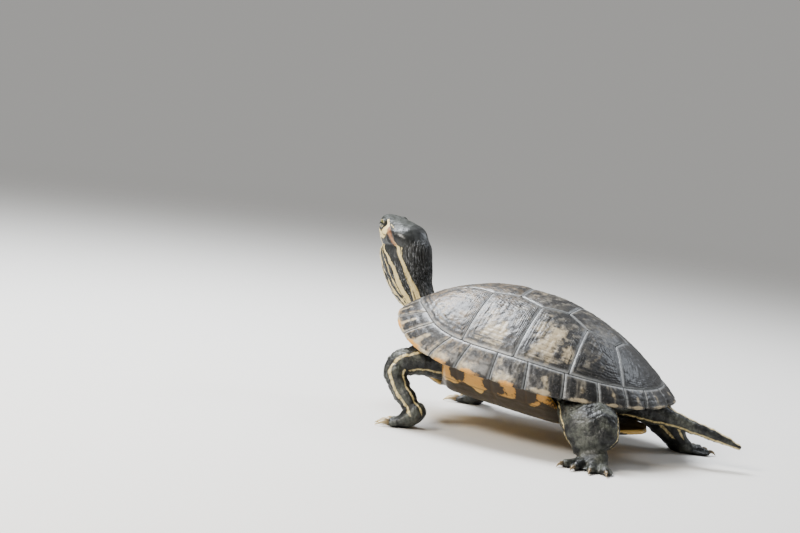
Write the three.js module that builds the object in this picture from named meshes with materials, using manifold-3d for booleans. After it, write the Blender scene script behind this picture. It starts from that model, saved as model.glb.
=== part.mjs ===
// Red-eared slider (Trachemys scripta elegans), adult male, standing still with its head raised.
// Millimetres. +X towards the head, +Y the animal's left, +Z up; the floor is z = 0.
import * as THREE from 'three';
import { mergeVertices } from 'three/addons/utils/BufferGeometryUtils.js';
import Module from 'manifold-3d';

const wasm = await Module();
wasm.setup();

// ---------------------------------------------------------------- driving dimensions
const shellLength = 180;             // straight length of the carapace
const shellPitch = 5.5;              // degrees that the shell's front is raised
const shellHeight = 45;              // from the floor to the level of the shell's own origin
const centring = [-2.2, -3.83];      // puts the middle of the model's box on the origin
const gap = 0.3;                     // between neighbouring pieces
const shellThickness = 3.2;

// Carapace, as fractions of its length. Its plan is two half superellipses that meet at `middle`.
const carapace = {
  middle: 0.034, halfWidth: 0.39, frontPower: 3.29, rearPower: 2.25, taper: 0.062,
  height: 0.25, frontRise: 0.092, rearRise: -0.005, sideRise: -0.021,
  profile: { side: [1.86, 0.75], front: [2.34, 0.98], rear: [1.89, 0.995] },
};

const outerRadii = [0.26, 0.48, 0.67, 0.82, 0.905, 0.955, 0.985, 1];   // rings of the outer face, as shares
const innerRadii = [1, 0.94, 0.78, 0.5];                                // and of the inner one
const rimSteps = 36;
const sideReach = 70;                // the shell's half width, over which a thickness is drawn in
const roofDrop = 1.1;                // the roof is thicker by this in the middle

// Scute joints, as [distance behind the front edge, distance from the midline] in shell lengths.
const vertebralFront = 0.062;
const vertebralJoints = [[0.215, 0.098], [0.42, 0.098], [0.605, 0.09], [0.785, 0.06]];
const vertebralSides = [[0.325, 0.125], [0.515, 0.13], [0.69, 0.115]];
const costalRimPlaces = [0.33, 0.53, 0.725, 0.885];   // where the costal seams meet the marginals
const nuchalHalfWidth = 0.026;

// Plastron, as fractions of the shell's length. The bridge's section goes out and up by these shares.
const plastron = {
  front: 0.455, rear: -0.435, lobeHalfWidth: 0.205, level: -0.145, frontRise: 0.05, rearRise: 0.02,
  bridgeFront: 0.2, bridgeRear: -0.17, notch: 0.075,
  across: [0, 0.5, 0.68, 0.81, 0.9, 0.945], up: [0, 0.02, 0.16, 0.46, 0.78, 1],
  stations: [-0.435, -0.415, -0.35, -0.245, -0.21, -0.17, 0.02, 0.2, 0.24, 0.275, 0.35, 0.42, 0.455],
};

// Trunk levels as [share of the rim's plan, height in shell lengths], from the roof's edge down.
const trunk = {
  clearance: 2.2, roofRadii: [0.45, 0.7, 0.86], levels: [[0.83, -0.04], [0.68, -0.085]], foot: 0.5,
};

// Head. Rows are [distance behind the snout, half width, height above the mouth, depth below it].
const snout = { place: [135.6, -31.5, 114.3], yaw: -28, pitch: 6, roll: -8 };
const headRows = [
  [0.4, 3.4, 3.8, 3.6], [2, 5.0, 6.8, 6.2], [4.5, 6.7, 8.9, 9.0], [8, 8.5, 9.4, 11.4],
  [12, 10.1, 9.9, 13.2], [17, 11.9, 10.4, 14.2], [22, 12.9, 9.8, 14.4], [27, 13.1, 8.4, 14.2],
  [32, 12.5, 6.9, 13.6], [36.5, 11.2, 4.6, 12.0], [40, 8.8, 1.4, 9.5],
];
const headRoundness = 0.86;
const mouthLine = [[3, 1.6], [-6, 0.9], [-12, -0.4], [-17, -1.5], [-21, -0.9]];
const jawHinge = [[-22.5, -3.5], [-24, -18], [3, -18]];
const eye = { behindSnout: 11.6, aside: 7.3, above: 4.3, radius: 3.3 };

// Soft parts. Rows are [x, y, z, half width, half depth], measured from below the shell's origin.
const neckAcross = [0.4, 0.92, 0];   // the neck turns to the animal's right
const neckRows = [
  [40, -3, 45, 14, 12], [62, -8, 49, 14.5, 12.5], [80, -12.5, 53, 13, 12], [90, -15.5, 60.5, 11.5, 11.5],
  [95.6, -17.5, 69.5, 11.2, 11], [102.6, -19, 77.5, 13, 14.8], [107, -20.2, 86, 14.8, 17.6],
  [110.8, -21.2, 95, 15.4, 19.4], [112.8, -22, 102, 14.6, 20.6], [113.8, -22.3, 106.5, 12, 17.8],
];
const tailRows = [
  [-62, 0, 33, 14, 10.5], [-80, -2, 29.5, 8.6, 7.8], [-93, -5, 26.5, 5.2, 5], [-108, -10, 22.5, 4.2, 4.1],
  [-121, -15.5, 18.6, 3.1, 3.0], [-131, -20.5, 14.8, 1.9, 1.8],
];
const legs = {
  fore_left: {
    rows: [[32, 26, 42, 12, 11], [50, 41, 41, 11, 10.5], [63, 52, 40.5, 10, 9], [71, 58.5, 35.5, 8.8, 8],
      [67, 61, 25.5, 7.8, 6.8], [58, 61.5, 15.5, 6.8, 5.6]],
    sole: [51, 61.5], heading: 4, hand: true,
  },
  fore_right: {
    rows: [[32, -26, 42, 12, 11], [48, -42, 40, 11, 10.5], [62, -54, 37.5, 9.8, 9], [70, -59.5, 31, 8.6, 8],
      [70.5, -61, 22, 7.6, 6.6], [66, -61.5, 14, 6.8, 5.6]],
    sole: [60, -61.5], heading: -12, hand: true,
  },
  hind_left: {
    rows: [[-40, 20, 32, 18, 12], [-47, 36, 31, 17, 12], [-54.5, 50, 27.5, 17, 12], [-62, 58, 20.5, 16.5, 11],
      [-66, 60.5, 14, 14.5, 8.6]],
    sole: [-66.5, 60], heading: 93, hand: false,
  },
  hind_right: {
    rows: [[-42, -20, 32, 18, 12], [-53, -33, 31, 15.5, 12], [-64.5, -38, 26, 12, 10.5],
      [-76, -40, 17.5, 9.8, 8.8], [-82.5, -41, 11.5, 8.4, 6.8]],
    sole: [-83, -41], heading: -121, hand: false,
  },
};

// Digits are [knuckle's distance from the middle of the foot, degrees that it fans out, share of length].
const hand = {
  ankle: 14, palm: 12.5, palmHalfWidth: 9, digit: 7, digitRadius: 2.4, claw: 8.8, clawRadius: 1.25, web: 0,
  digits: [[-7, -32, 0.72], [-3.9, -15, 0.95], [-0.2, 0, 1], [3.6, 14, 0.95], [6.8, 30, 0.78]],
};
const paddle = {
  ankle: 13, palm: 12, palmHalfWidth: 10.5, digit: 13, digitRadius: 2.6, claw: 5.2, clawRadius: 1.15, web: 17,
  webReach: 0.66,
  digits: [[-8, -30, 0.84], [-3, -11, 1], [2.4, 7, 1], [7.4, 26, 0.88]],
};

// A claw's rows are [share of its length, height, share of its radius].
const clawProfile = [[0, 2.0, 1], [0.35, 2.7, 0.92], [0.7, 2.0, 0.6], [1, 0.4, 0.14]];

const colours = {
  carapace: [0x4b4a44, 0.5], marginal: [0x55524a, 0.5], plastron: [0xb98a45, 0.55], skin: [0x2c302b, 0.6],
  claw: [0xb9a56a, 0.45], eye: [0x23260f, 0.12],
};

// ---------------------------------------------------------------- small helpers
const radians = THREE.MathUtils.degToRad;
const { clamp, lerp, smoothstep } = THREE.MathUtils;
const vec = (x, y, z) => new THREE.Vector3(x, y, z);
const signedPower = (value, power) => Math.sign(value) * Math.abs(value) ** power;

function solidOf(geometry, matrix = new THREE.Matrix4()) {
  const copy = geometry.clone().applyMatrix4(matrix);
  copy.deleteAttribute('normal');
  copy.deleteAttribute('uv');
  const merged = mergeVertices(copy, 1e-5);
  return new wasm.Manifold(new wasm.Mesh({
    numProp: 3,
    vertProperties: new Float32Array(merged.attributes.position.array),
    triVerts: new Uint32Array(merged.index.array),
  }));
}

function geometryOf(solid) {
  const mesh = solid.getMesh();
  const geometry = new THREE.BufferGeometry();
  geometry.setAttribute('position', new THREE.BufferAttribute(new Float32Array(mesh.vertProperties), 3));
  geometry.setIndex(new THREE.BufferAttribute(new Uint32Array(mesh.triVerts), 1));
  geometry.computeVertexNormals();
  return geometry;
}

// A closed surface through rings of equally many points; the first and last entries are single points.
function ringSolid(rings) {
  const sides = rings[1].length;
  const points = rings.flat();
  const at = (ring, i) => (ring === 0 ? 0 : 1 + (ring - 1) * sides + (i % sides));
  const last = points.length - 1;
  const index = [];
  for (let i = 0; i < sides; i += 1) {
    index.push(0, at(1, i), at(1, i + 1));
    for (let ring = 1; ring < rings.length - 2; ring += 1) {
      index.push(at(ring, i), at(ring + 1, i), at(ring + 1, i + 1));
      index.push(at(ring, i), at(ring + 1, i + 1), at(ring, i + 1));
    }
    index.push(last, at(rings.length - 2, i + 1), at(rings.length - 2, i));
  }
  let volume = 0;
  for (let i = 0; i < index.length; i += 3) {
    const [a, b, c] = [points[index[i]], points[index[i + 1]], points[index[i + 2]]];
    volume += a.dot(vec(0, 0, 0).crossVectors(b, c));
  }
  const geometry = new THREE.BufferGeometry().setFromPoints(points);
  geometry.setIndex(volume > 0 ? index : index.reverse());
  return solidOf(geometry);
}

// A smooth tube through rows of [x, y, z, half width, half depth]; each end is round or flat.
function tube(rows, { sides = 12, steps = 12, across = vec(0, 1, 0), grow = 0, round = [true, true] } = {}) {
  const path = new THREE.CatmullRomCurve3(rows.map(([x, y, z]) => vec(x, y, z)), false, 'centripetal');
  const sizes = new THREE.CatmullRomCurve3(rows.map((row) => vec(row[3] + grow, row[4] + grow, 0)));
  const ring = (u, scale, shift) => {
    const along = path.getTangent(u);
    const wide = across.clone().addScaledVector(along, -across.dot(along)).normalize();
    const deep = vec(0, 0, 0).crossVectors(along, wide);
    const size = sizes.getPoint(u);
    const centre = path.getPoint(u).addScaledVector(along, shift * Math.min(size.x, size.y));
    if (scale === 0) return [centre];
    return Array.from({ length: sides }, (_, i) => {
      const angle = (i / sides) * 2 * Math.PI;
      return centre.clone().addScaledVector(wide, Math.cos(angle) * size.x * scale)
        .addScaledVector(deep, Math.sin(angle) * size.y * scale);
    });
  };
  const cap = (u, way) => [ring(u, 0.72, 0.5 * way), ring(u, 0, 0.8 * way)];
  const rings = round[0] ? cap(0, -1).reverse() : [ring(0, 0, 0)];
  for (let i = 0; i <= steps; i += 1) rings.push(ring(i / steps, 1, 0));
  rings.push(...(round[1] ? cap(1, 1) : [ring(1, 0, 0)]));
  return ringSolid(rings);
}

// A prism over a plan outline of [x, y], from one height to another.
function prism(outline, low, high) {
  const shape = new THREE.Shape(outline.map(([x, y]) => new THREE.Vector2(x, y)));
  const geometry = new THREE.ExtrudeGeometry(shape, { depth: high - low, bevelEnabled: false });
  return solidOf(geometry, new THREE.Matrix4().makeTranslation(0, 0, low));
}

// An outline moved inwards by a distance (outwards when negative).
function inset(outline, distance) {
  const turn = Math.sign(THREE.ShapeUtils.area(outline.map(([x, y]) => new THREE.Vector2(x, y))));
  return outline.map((point, i) => {
    const before = outline[(i + outline.length - 1) % outline.length];
    const after = outline[(i + 1) % outline.length];
    const [a, b] = [[before, point], [point, after]].map(([from, to]) => {
      const length = Math.hypot(to[0] - from[0], to[1] - from[1]);
      return [-turn * (to[1] - from[1]) / length, turn * (to[0] - from[0]) / length];
    });
    const spread = 1 + a[0] * b[0] + a[1] * b[1];
    return [point[0] + (distance * (a[0] + b[0])) / spread, point[1] + (distance * (a[1] + b[1])) / spread];
  });
}

// ---------------------------------------------------------------- carapace surface
// Angle 0 is the front of the rim, a quarter turn is the animal's left.
function rimPlan(angle) {
  const [c, s] = [Math.cos(angle), Math.sin(angle)];
  const power = c >= 0 ? carapace.frontPower : carapace.rearPower;
  const reach = c >= 0 ? 0.5 - carapace.middle : 0.5 + carapace.middle;
  const x = carapace.middle + reach * signedPower(c, 2 / power);
  const y = carapace.halfWidth * signedPower(s, 2 / power);
  return [x, y];
}

function planPoint(radius, angle) {
  const [rimX, rimY] = rimPlan(angle);
  const x = lerp(carapace.middle, rimX, radius);
  return [x, rimY * radius * (1 - 2 * carapace.taper * x)];
}

function rimLevel(angle) {
  const [c, s] = [Math.cos(angle), Math.sin(angle)];
  return carapace.frontRise * Math.max(c, 0) ** 2 + carapace.rearRise * Math.max(-c, 0) ** 2
    + carapace.sideRise * s ** 2;
}

function surfacePoint(radius, angle) {
  const { side, front, rear } = carapace.profile;
  const [forward, backward] = [Math.max(Math.cos(angle), 0) ** 2, Math.max(-Math.cos(angle), 0) ** 2];
  const mix = (i) => side[i] + (front[i] - side[i]) * forward + (rear[i] - side[i]) * backward;
  const dome = carapace.height * clamp(1 - radius ** mix(0), 0, 1) ** mix(1);
  const [x, y] = planPoint(radius, angle);
  return vec(x, y, rimLevel(angle) * radius ** 2 + dome).multiplyScalar(shellLength);
}

// The inner face: the outer one drawn in towards the middle, and lowered where the roof is flat.
function innerPoint(radius, angle, extra = 0) {
  const drawn = 1 - (shellThickness + extra) / sideReach;
  const point = surfacePoint(radius, angle);
  const middle = carapace.middle * shellLength;
  return vec(middle + (point.x - middle) * drawn, point.y * drawn,
    point.z * drawn - (roofDrop + 0.4 * extra) * (1 - radius ** 2));
}

function carapaceSolid(grow = 0) {
  const angles = Array.from({ length: rimSteps }, (_, i) => ((i + 0.5) / rimSteps) * 2 * Math.PI);
  const lift = (point) => point.multiplyScalar(1 + grow / sideReach);
  const rings = [[lift(surfacePoint(0, 0))]];
  for (const radius of outerRadii) rings.push(angles.map((angle) => lift(surfacePoint(radius, angle))));
  for (const radius of innerRadii) rings.push(angles.map((angle) => innerPoint(radius, angle, grow)));
  rings.push([innerPoint(0, 0, grow)]);
  return ringSolid(rings);
}

// ---------------------------------------------------------------- scutes
// The seam between the costals and the marginals, as a share of the way out to the rim.
function marginalSeam(angle) {
  const turn = Math.abs(Math.atan2(Math.sin(angle), Math.cos(angle)));
  const shoulder = Math.exp(-(((turn - 0.75) / 0.35) ** 2));
  return 0.875 - 0.033 * shoulder + 0.025 * Math.max(-Math.cos(turn), 0) ** 2;
}

// The rim angle at which the seam lies a given distance behind the front edge.
function seamAngle(behindFront) {
  let [low, high] = [0, Math.PI];
  for (let i = 0; i < 40; i += 1) {
    const middle = (low + high) / 2;
    if (0.5 - planPoint(marginalSeam(middle), middle)[0] < behindFront) low = middle;
    else high = middle;
  }
  return low;
}

const plan = ([behindFront, aside]) => [(0.5 - behindFront) * shellLength, aside * shellLength];
const mirrored = (outline) => outline.map(([x, y]) => [x, -y]).reverse();
function seamCurve(from, to, steps) {
  return Array.from({ length: steps + 1 }, (_, i) => {
    const angle = lerp(from, to, i / steps);
    return planPoint(marginalSeam(angle), angle).map((value) => value * shellLength);
  });
}

function scuteOutlines() {
  const seams = [0, ...costalRimPlaces.map(seamAngle)];
  seams[0] = seamAngle(vertebralFront);
  const frontSeam = seamCurve(-seams[0], seams[0], 4);
  const node = vertebralJoints.map(plan);
  const side = vertebralSides.map(plan);
  const other = ([x, y]) => [x, -y];
  const outlines = { vertebral_1: [...frontSeam, node[0], other(node[0])] };
  for (let i = 0; i < 3; i += 1) {
    const half = [node[i], side[i], node[i + 1]];
    outlines[`vertebral_${i + 2}`] = [...half, ...half.map(other).reverse()];
  }
  outlines.vertebral_5 = [node[3], ...seamCurve(seams[4], 2 * Math.PI - seams[4], 10), other(node[3])];
  for (let i = 0; i < 4; i += 1) {
    const inner = [side[i], node[i], side[i - 1]].filter((point) => point !== undefined);
    const outer = seamCurve(seams[i], seams[i + 1], i === 0 ? 6 : 3);
    outlines[`costal_left_${i + 1}`] = [...outer, ...inner];
    outlines[`costal_right_${i + 1}`] = mirrored([...outer, ...inner]);
  }
  return outlines;
}

// The marginals are one bar on each side; the nuchal is the narrow plate between them in front.
function rimOutline(from, to, steps) {
  const outside = Array.from({ length: steps + 1 }, (_, i) => (
    planPoint(1.12, lerp(to, from, i / steps)).map((value) => value * shellLength)));
  return [...seamCurve(from, to, steps), ...outside];
}

function nuchalAngle() {
  let angle = 0;
  while (planPoint(1, angle)[1] < nuchalHalfWidth) angle += 0.0005;
  return angle;
}

// ---------------------------------------------------------------- plastron
const rimAngleAt = (x) => {
  const front = x >= carapace.middle;
  const reach = front ? 0.5 - carapace.middle : 0.5 + carapace.middle;
  const share = clamp(Math.abs(x - carapace.middle) / reach, 0, 1);
  const c = share ** ((front ? carapace.frontPower : carapace.rearPower) / 2);
  return front ? Math.acos(c) : Math.PI - Math.acos(c);
};

function plastronSection(x, grow) {
  const along = (x - (plastron.front + plastron.rear) / 2) / ((plastron.front - plastron.rear) / 2);
  const lobe = plastron.lobeHalfWidth * Math.sqrt(Math.max(1 - Math.abs(along) ** 3.2, 0.02));
  const bridge = smoothstep(x, plastron.bridgeRear - plastron.notch, plastron.bridgeRear)
    * (1 - smoothstep(x, plastron.bridgeFront, plastron.bridgeFront + plastron.notch));
  const angle = rimAngleAt(x);
  const rimY = planPoint(1, angle)[1];
  const rimZ = rimLevel(angle) - (1.5 * gap) / shellLength;
  const base = plastron.level + plastron.frontRise * clamp((x - 0.2) / 0.25, 0, 1) ** 2
    + plastron.rearRise * clamp((-x - 0.22) / 0.22, 0, 1) ** 2;
  const outer = plastron.across.map((share, i) => {
    const wall = [rimY * share, lerp(base, rimZ, plastron.up[i])];
    const flat = [lobe * (share / plastron.across.at(-1)), base + 0.006 * share ** 6];
    return [lerp(flat[0], wall[0], bridge) + (grow / shellLength) * share, lerp(flat[1], wall[1], bridge)];
  });
  const thick = shellThickness / shellLength + (2 * grow) / shellLength;
  const inner = outer.map(([y, z], i) => {
    const [ya, za] = outer[Math.max(i - 1, 0)];
    const [yb, zb] = outer[Math.min(i + 1, outer.length - 1)];
    const run = Math.hypot(yb - ya, zb - za);
    return [y - (thick * (zb - za)) / run, z + (thick * (yb - ya)) / run];
  });
  inner[0] = [0, base + thick];
  inner[inner.length - 1][1] = Math.min(inner[inner.length - 1][1], outer[outer.length - 1][1]);
  const half = [...outer, ...inner.reverse()];
  const rest = half.slice(1, -1).map(([y, z]) => [-y, z]).reverse();
  const drop = grow / shellLength;
  return [...half, ...rest].map(([y, z]) => vec(x, y, z - drop).multiplyScalar(shellLength));
}

function plastronSolid(grow = 0) {
  const rings = plastron.stations.map((x) => plastronSection(x, grow));
  const sum = (ring) => ring.reduce((total, point) => total.add(point), vec(0, 0, 0));
  const middleOf = (ring) => [sum(ring).divideScalar(ring.length)];
  return ringSolid([middleOf(rings[0]), ...rings, middleOf(rings[rings.length - 1])]);
}

// ---------------------------------------------------------------- trunk
// The body fills the shell: its roof follows the inner face, its sides draw in towards the plastron.
function trunkSolid(grow = 0) {
  const sides = 22;
  const angles = Array.from({ length: sides }, (_, i) => ((i + 0.5) / sides) * 2 * Math.PI);
  const level = (share, z) => angles.map((angle) => {
    const [x, y] = planPoint(share + grow / 60, angle);
    return vec(x * shellLength, y * shellLength, z * shellLength - grow);
  });
  const clear = trunk.clearance - 1.5 * grow;
  const roof = (radius) => angles.map((angle) => innerPoint(radius, angle, clear));
  const bottom = plastron.level + (shellThickness + trunk.clearance) / shellLength;
  const levels = [...trunk.levels, [trunk.foot, bottom]];
  return ringSolid([[innerPoint(0, 0, clear)], ...trunk.roofRadii.map(roof),
    ...levels.map(([share, z]) => level(share, z)),
    [vec(carapace.middle, 0, bottom).multiplyScalar(shellLength)]]);
}

// ---------------------------------------------------------------- head
const headPlace = new THREE.Matrix4().makeTranslation(...snout.place)
  .multiply(new THREE.Matrix4().makeRotationZ(radians(snout.yaw)))
  .multiply(new THREE.Matrix4().makeRotationY(-radians(snout.pitch)))
  .multiply(new THREE.Matrix4().makeRotationX(radians(snout.roll)));

function headSolid(grow = 0) {
  const sides = 16;
  const rings = headRows.map(([behind, halfWidth, top, bottom]) => Array.from({ length: sides }, (_, i) => {
    const angle = ((i + 0.5) / sides) * 2 * Math.PI;
    const [c, s] = [Math.cos(angle), Math.sin(angle)];
    const height = s > 0 ? top + grow : bottom + grow;
    const [aside, above] = [signedPower(c, headRoundness), signedPower(s, headRoundness)];
    return vec(-behind, (halfWidth + grow) * aside, height * above);
  }));
  const tip = vec(0.5 + grow, 0, 0.8);
  const back = vec(-42.6 - grow, 0, -4);
  return ringSolid([[tip], ...rings, [back]]);
}

// A wide slab seen from the side: outlines are [x, z] in the head's own frame.
function sideSlab(outline) {
  const standing = new THREE.Matrix4().makeRotationX(Math.PI / 2);
  return prism(outline, -20, 20).transform(standing.elements);
}

const eyeCentre = (side) => vec(-eye.behindSnout, side * eye.aside, eye.above);
function eyeball(side, grow = 0) {
  const centre = eyeCentre(side);
  const ball = new THREE.SphereGeometry(eye.radius + grow, 10, 6);
  return solidOf(ball, new THREE.Matrix4().makeTranslation(centre.x, centre.y, centre.z));
}

// ---------------------------------------------------------------- feet
// A foot in its own frame: heel at the origin, sole at z = 0, toes along +X.
function footDigit(size, side, [knuckle, degrees, share]) {
  const angle = radians(degrees * side);
  const across = vec(-Math.sin(angle), Math.cos(angle), 0);
  const place = (out, z, halfWidth, halfDepth) => [
    size.palm - 3 + Math.cos(angle) * out, knuckle * side + Math.sin(angle) * out, z, halfWidth, halfDepth];
  const length = size.digit * share;
  const r = size.digitRadius;
  const flesh = [place(-4, 3.2, r, r), place(length, 2.1, r * 0.8, r * 0.8)];
  const horn = clawProfile.map(([along, z, scale]) => {
    const radius = size.clawRadius * scale;
    return place(length + 1.8 * gap + along * size.claw, z, radius, radius * 1.1);
  });
  return {
    flesh: tube(flesh, { sides: 6, steps: 1, across, round: [false, false] }),
    claw: tube(horn, { sides: 5, steps: 3, across, round: [false, false] }),
  };
}

function footPieces(size, side) {
  const digits = size.digits.map((digit) => footDigit(size, side, digit));
  const wide = size.palmHalfWidth;
  const palm = tube([[1, 0, 12, 7.2, 6], [4, 0, 7.3, wide * 0.86, 6.4], [size.palm * 0.7, 0, 3.6, wide, 5],
    [size.palm, 0, 2.3, wide, 3.3]], { sides: 8, steps: 3 });
  if (size.web === 0) return { palm, digits };
  const webEnd = size.palm - 3 + size.digit * size.webReach;
  const web = tube([[4, 0, 2.4, wide * 0.8, 3], [size.palm, 0, 1.5, lerp(wide, size.web, 0.6), 1.9],
    [webEnd, 0, 0.9, size.web, 1.1]], { sides: 6, steps: 2, round: [false, true] });
  return { palm: palm.add(web), digits };
}

// All that lies between two heights.
function levelBox(low, high) {
  const box = new THREE.BoxGeometry(400, 400, high - low);
  return solidOf(box, new THREE.Matrix4().makeTranslation(0, 0, (low + high) / 2));
}

// ---------------------------------------------------------------- assembly
const turtle = new THREE.Group();
const body = new THREE.Group();
const shell = new THREE.Group();
body.position.set(centring[0], centring[1], 0);
shell.position.z = shellHeight;
shell.rotation.y = -radians(shellPitch);
turtle.add(body);
body.add(shell);

function addPiece(group, name, solid, [colour, roughness]) {
  const material = new THREE.MeshStandardMaterial({ color: colour, roughness, metalness: 0 });
  const mesh = new THREE.Mesh(geometryOf(solid), material);
  mesh.name = name;
  group.add(mesh);
}

function buildCarapace() {
  const whole = carapaceSolid();
  for (const [name, outline] of Object.entries(scuteOutlines())) {
    addPiece(shell, name, whole.intersect(prism(inset(outline, gap / 2), -20, 90)), colours.carapace);
  }
  const front = nuchalAngle();
  const left = rimOutline(front, Math.PI, 28);
  const pieces = {
    nuchal: rimOutline(-front, front, 2),
    marginals_left: left,
    marginals_right: mirrored(left),
  };
  for (const [name, outline] of Object.entries(pieces)) {
    addPiece(shell, name, whole.intersect(prism(inset(outline, gap / 2), -30, 60)), colours.marginal);
  }
}

function buildFlesh() {
  shell.updateMatrix();
  const placed = (solid) => solid.transform(shell.matrix.elements);
  const plate = plastronSolid(gap);
  const reach = 2 * gap;
  const plateTool = [[reach, 0, 0], [-reach, 0, 0], [0, 0, reach], [0, 0, -reach]]
    .reduce((sum, step) => sum.add(plate.translate(step)), plate);
  const hardParts = placed(carapaceSolid(gap).add(plateTool));
  const trunkTool = placed(trunkSolid(gap));
  addPiece(shell, 'trunk', trunkSolid(), colours.skin);

  const wholeHead = headSolid();
  const jawOutline = [...mouthLine, ...jawHinge];
  const sockets = eyeball(1, gap).add(eyeball(-1, gap));
  const inHead = (solid) => solid.transform(headPlace.elements);
  const skull = wholeHead.subtract(sideSlab(inset(jawOutline, -gap))).subtract(sockets);
  const jaw = wholeHead.intersect(sideSlab(jawOutline));
  addPiece(body, 'head', inHead(skull), colours.skin);
  addPiece(body, 'lower_jaw', inHead(jaw), colours.skin);
  addPiece(body, 'eye_left', inHead(eyeball(1)), colours.eye);
  addPiece(body, 'eye_right', inHead(eyeball(-1)), colours.eye);

  const across = vec(...neckAcross).normalize();
  const neck = tube(neckRows, { sides: 14, steps: 10, across });
  const neckCut = neck.subtract(inHead(headSolid(gap))).subtract(hardParts).subtract(trunkTool);
  addPiece(body, 'neck', largestPart(neckCut), colours.skin);

  const tail = tube(tailRows, { sides: 8, steps: 9 });
  addPiece(body, 'tail', largestPart(tail.subtract(hardParts).subtract(trunkTool)), colours.skin);

  const neckTool = tube(neckRows, { sides: 14, steps: 10, across, grow: gap });
  const tailTool = tube(tailRows, { sides: 8, steps: 9, grow: gap });
  for (const [name, leg] of Object.entries(legs)) {
    const along = new THREE.Vector3(...leg.rows[2]).sub(new THREE.Vector3(...leg.rows[0]));
    const legAcross = leg.hand ? vec(-along.y, along.x, 0) : vec(1, 0, 0.1);
    const limb = tube(leg.rows, { sides: 10, steps: 7, across: legAcross.normalize(), round: [false, true] });
    buildFoot(name, leg, limb, hardParts, trunkTool, neckTool.add(tailTool));
  }
}

function largestPart(solid) {
  return solid.decompose().reduce((best, part) => (part.volume() > best.volume() ? part : best));
}

function buildFoot(name, leg, limb, hardParts, trunkTool, coreTool) {
  const size = leg.hand ? hand : paddle;
  const side = Math.sign(leg.sole[1]);
  const { palm, digits } = footPieces(size, side);
  const place = new THREE.Matrix4().makeTranslation(leg.sole[0], leg.sole[1], 0)
    .multiply(new THREE.Matrix4().makeRotationZ(radians(leg.heading))).elements;
  const flesh = digits.reduce((sum, digit) => sum.add(digit.flesh), palm).transform(place);

  // The foot is parted from the leg by a level cut at the ankle.
  const above = levelBox(size.ankle, size.ankle + 200);
  const below = levelBox(0, size.ankle - gap);
  const whole = flesh.add(limb);
  const leftOver = whole.subtract(hardParts).subtract(trunkTool).subtract(coreTool);
  addPiece(body, `${name}_leg`, largestPart(leftOver.intersect(above)), colours.skin);
  addPiece(body, `${name}_foot`, largestPart(leftOver.intersect(below)), colours.skin);
  digits.forEach((digit, i) => {
    addPiece(body, `${name}_claw_${i + 1}`, digit.claw.transform(place), colours.claw);
  });
}

buildCarapace();
addPiece(shell, 'plastron', plastronSolid(), colours.plastron);
buildFlesh();

export default turtle;
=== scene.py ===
"""Looks of a red-eared slider (Trachemys scripta elegans), a life-size still model of an adult male.

Metres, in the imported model's own frame: +X towards the head, +Y the animal's left, +Z up, floor at z = 0.
Shapes are worked out in millimetres and turned into metres by MM when a mesh is made.
"""
import math

import bmesh
import bpy
import numpy as np
from mathutils import Matrix, Vector
from mathutils.kdtree import KDTree


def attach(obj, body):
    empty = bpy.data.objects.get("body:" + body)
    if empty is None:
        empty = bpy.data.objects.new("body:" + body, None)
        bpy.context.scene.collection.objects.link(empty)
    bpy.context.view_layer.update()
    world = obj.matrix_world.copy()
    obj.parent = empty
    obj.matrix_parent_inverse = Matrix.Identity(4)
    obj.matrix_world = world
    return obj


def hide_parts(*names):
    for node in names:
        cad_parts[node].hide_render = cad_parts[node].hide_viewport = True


MM = 0.001
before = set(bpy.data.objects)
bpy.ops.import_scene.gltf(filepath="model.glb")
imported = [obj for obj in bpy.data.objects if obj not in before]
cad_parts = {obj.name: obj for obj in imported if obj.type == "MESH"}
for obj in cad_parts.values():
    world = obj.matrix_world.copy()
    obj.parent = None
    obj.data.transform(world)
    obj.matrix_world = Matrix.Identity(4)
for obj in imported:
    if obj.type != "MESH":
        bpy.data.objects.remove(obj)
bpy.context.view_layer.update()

# ---- the shell's own frame
SHELL_LENGTH = 180 * MM
SHELL_PITCH = math.radians(5.5)            # the shell's front is raised
SHELL_ORIGIN = Vector((-2.2, -3.83, 45.0)) * MM
SHELL = Matrix.Translation(SHELL_ORIGIN) @ Matrix.Rotation(-SHELL_PITCH, 4, "Y")

# ---- camera
# The photo's camera, stated in the shell's frame: it stands behind the animal's left side.
IMAGE_SIZE = (800, 533)
CAMERA_YAW = math.radians(19.6)
CAMERA_ELEVATION = math.radians(10.1)
CAMERA_ROLL = math.radians(13.2)
CAMERA_DISTANCE = 6.5 * SHELL_LENGTH
FOCAL_PIXELS = 1827.0
SHELL_ORIGIN_PIXEL = (537.4, 364.6)        # where the shell's origin shows in the photo
SENSOR_WIDTH = 36.0


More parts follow.
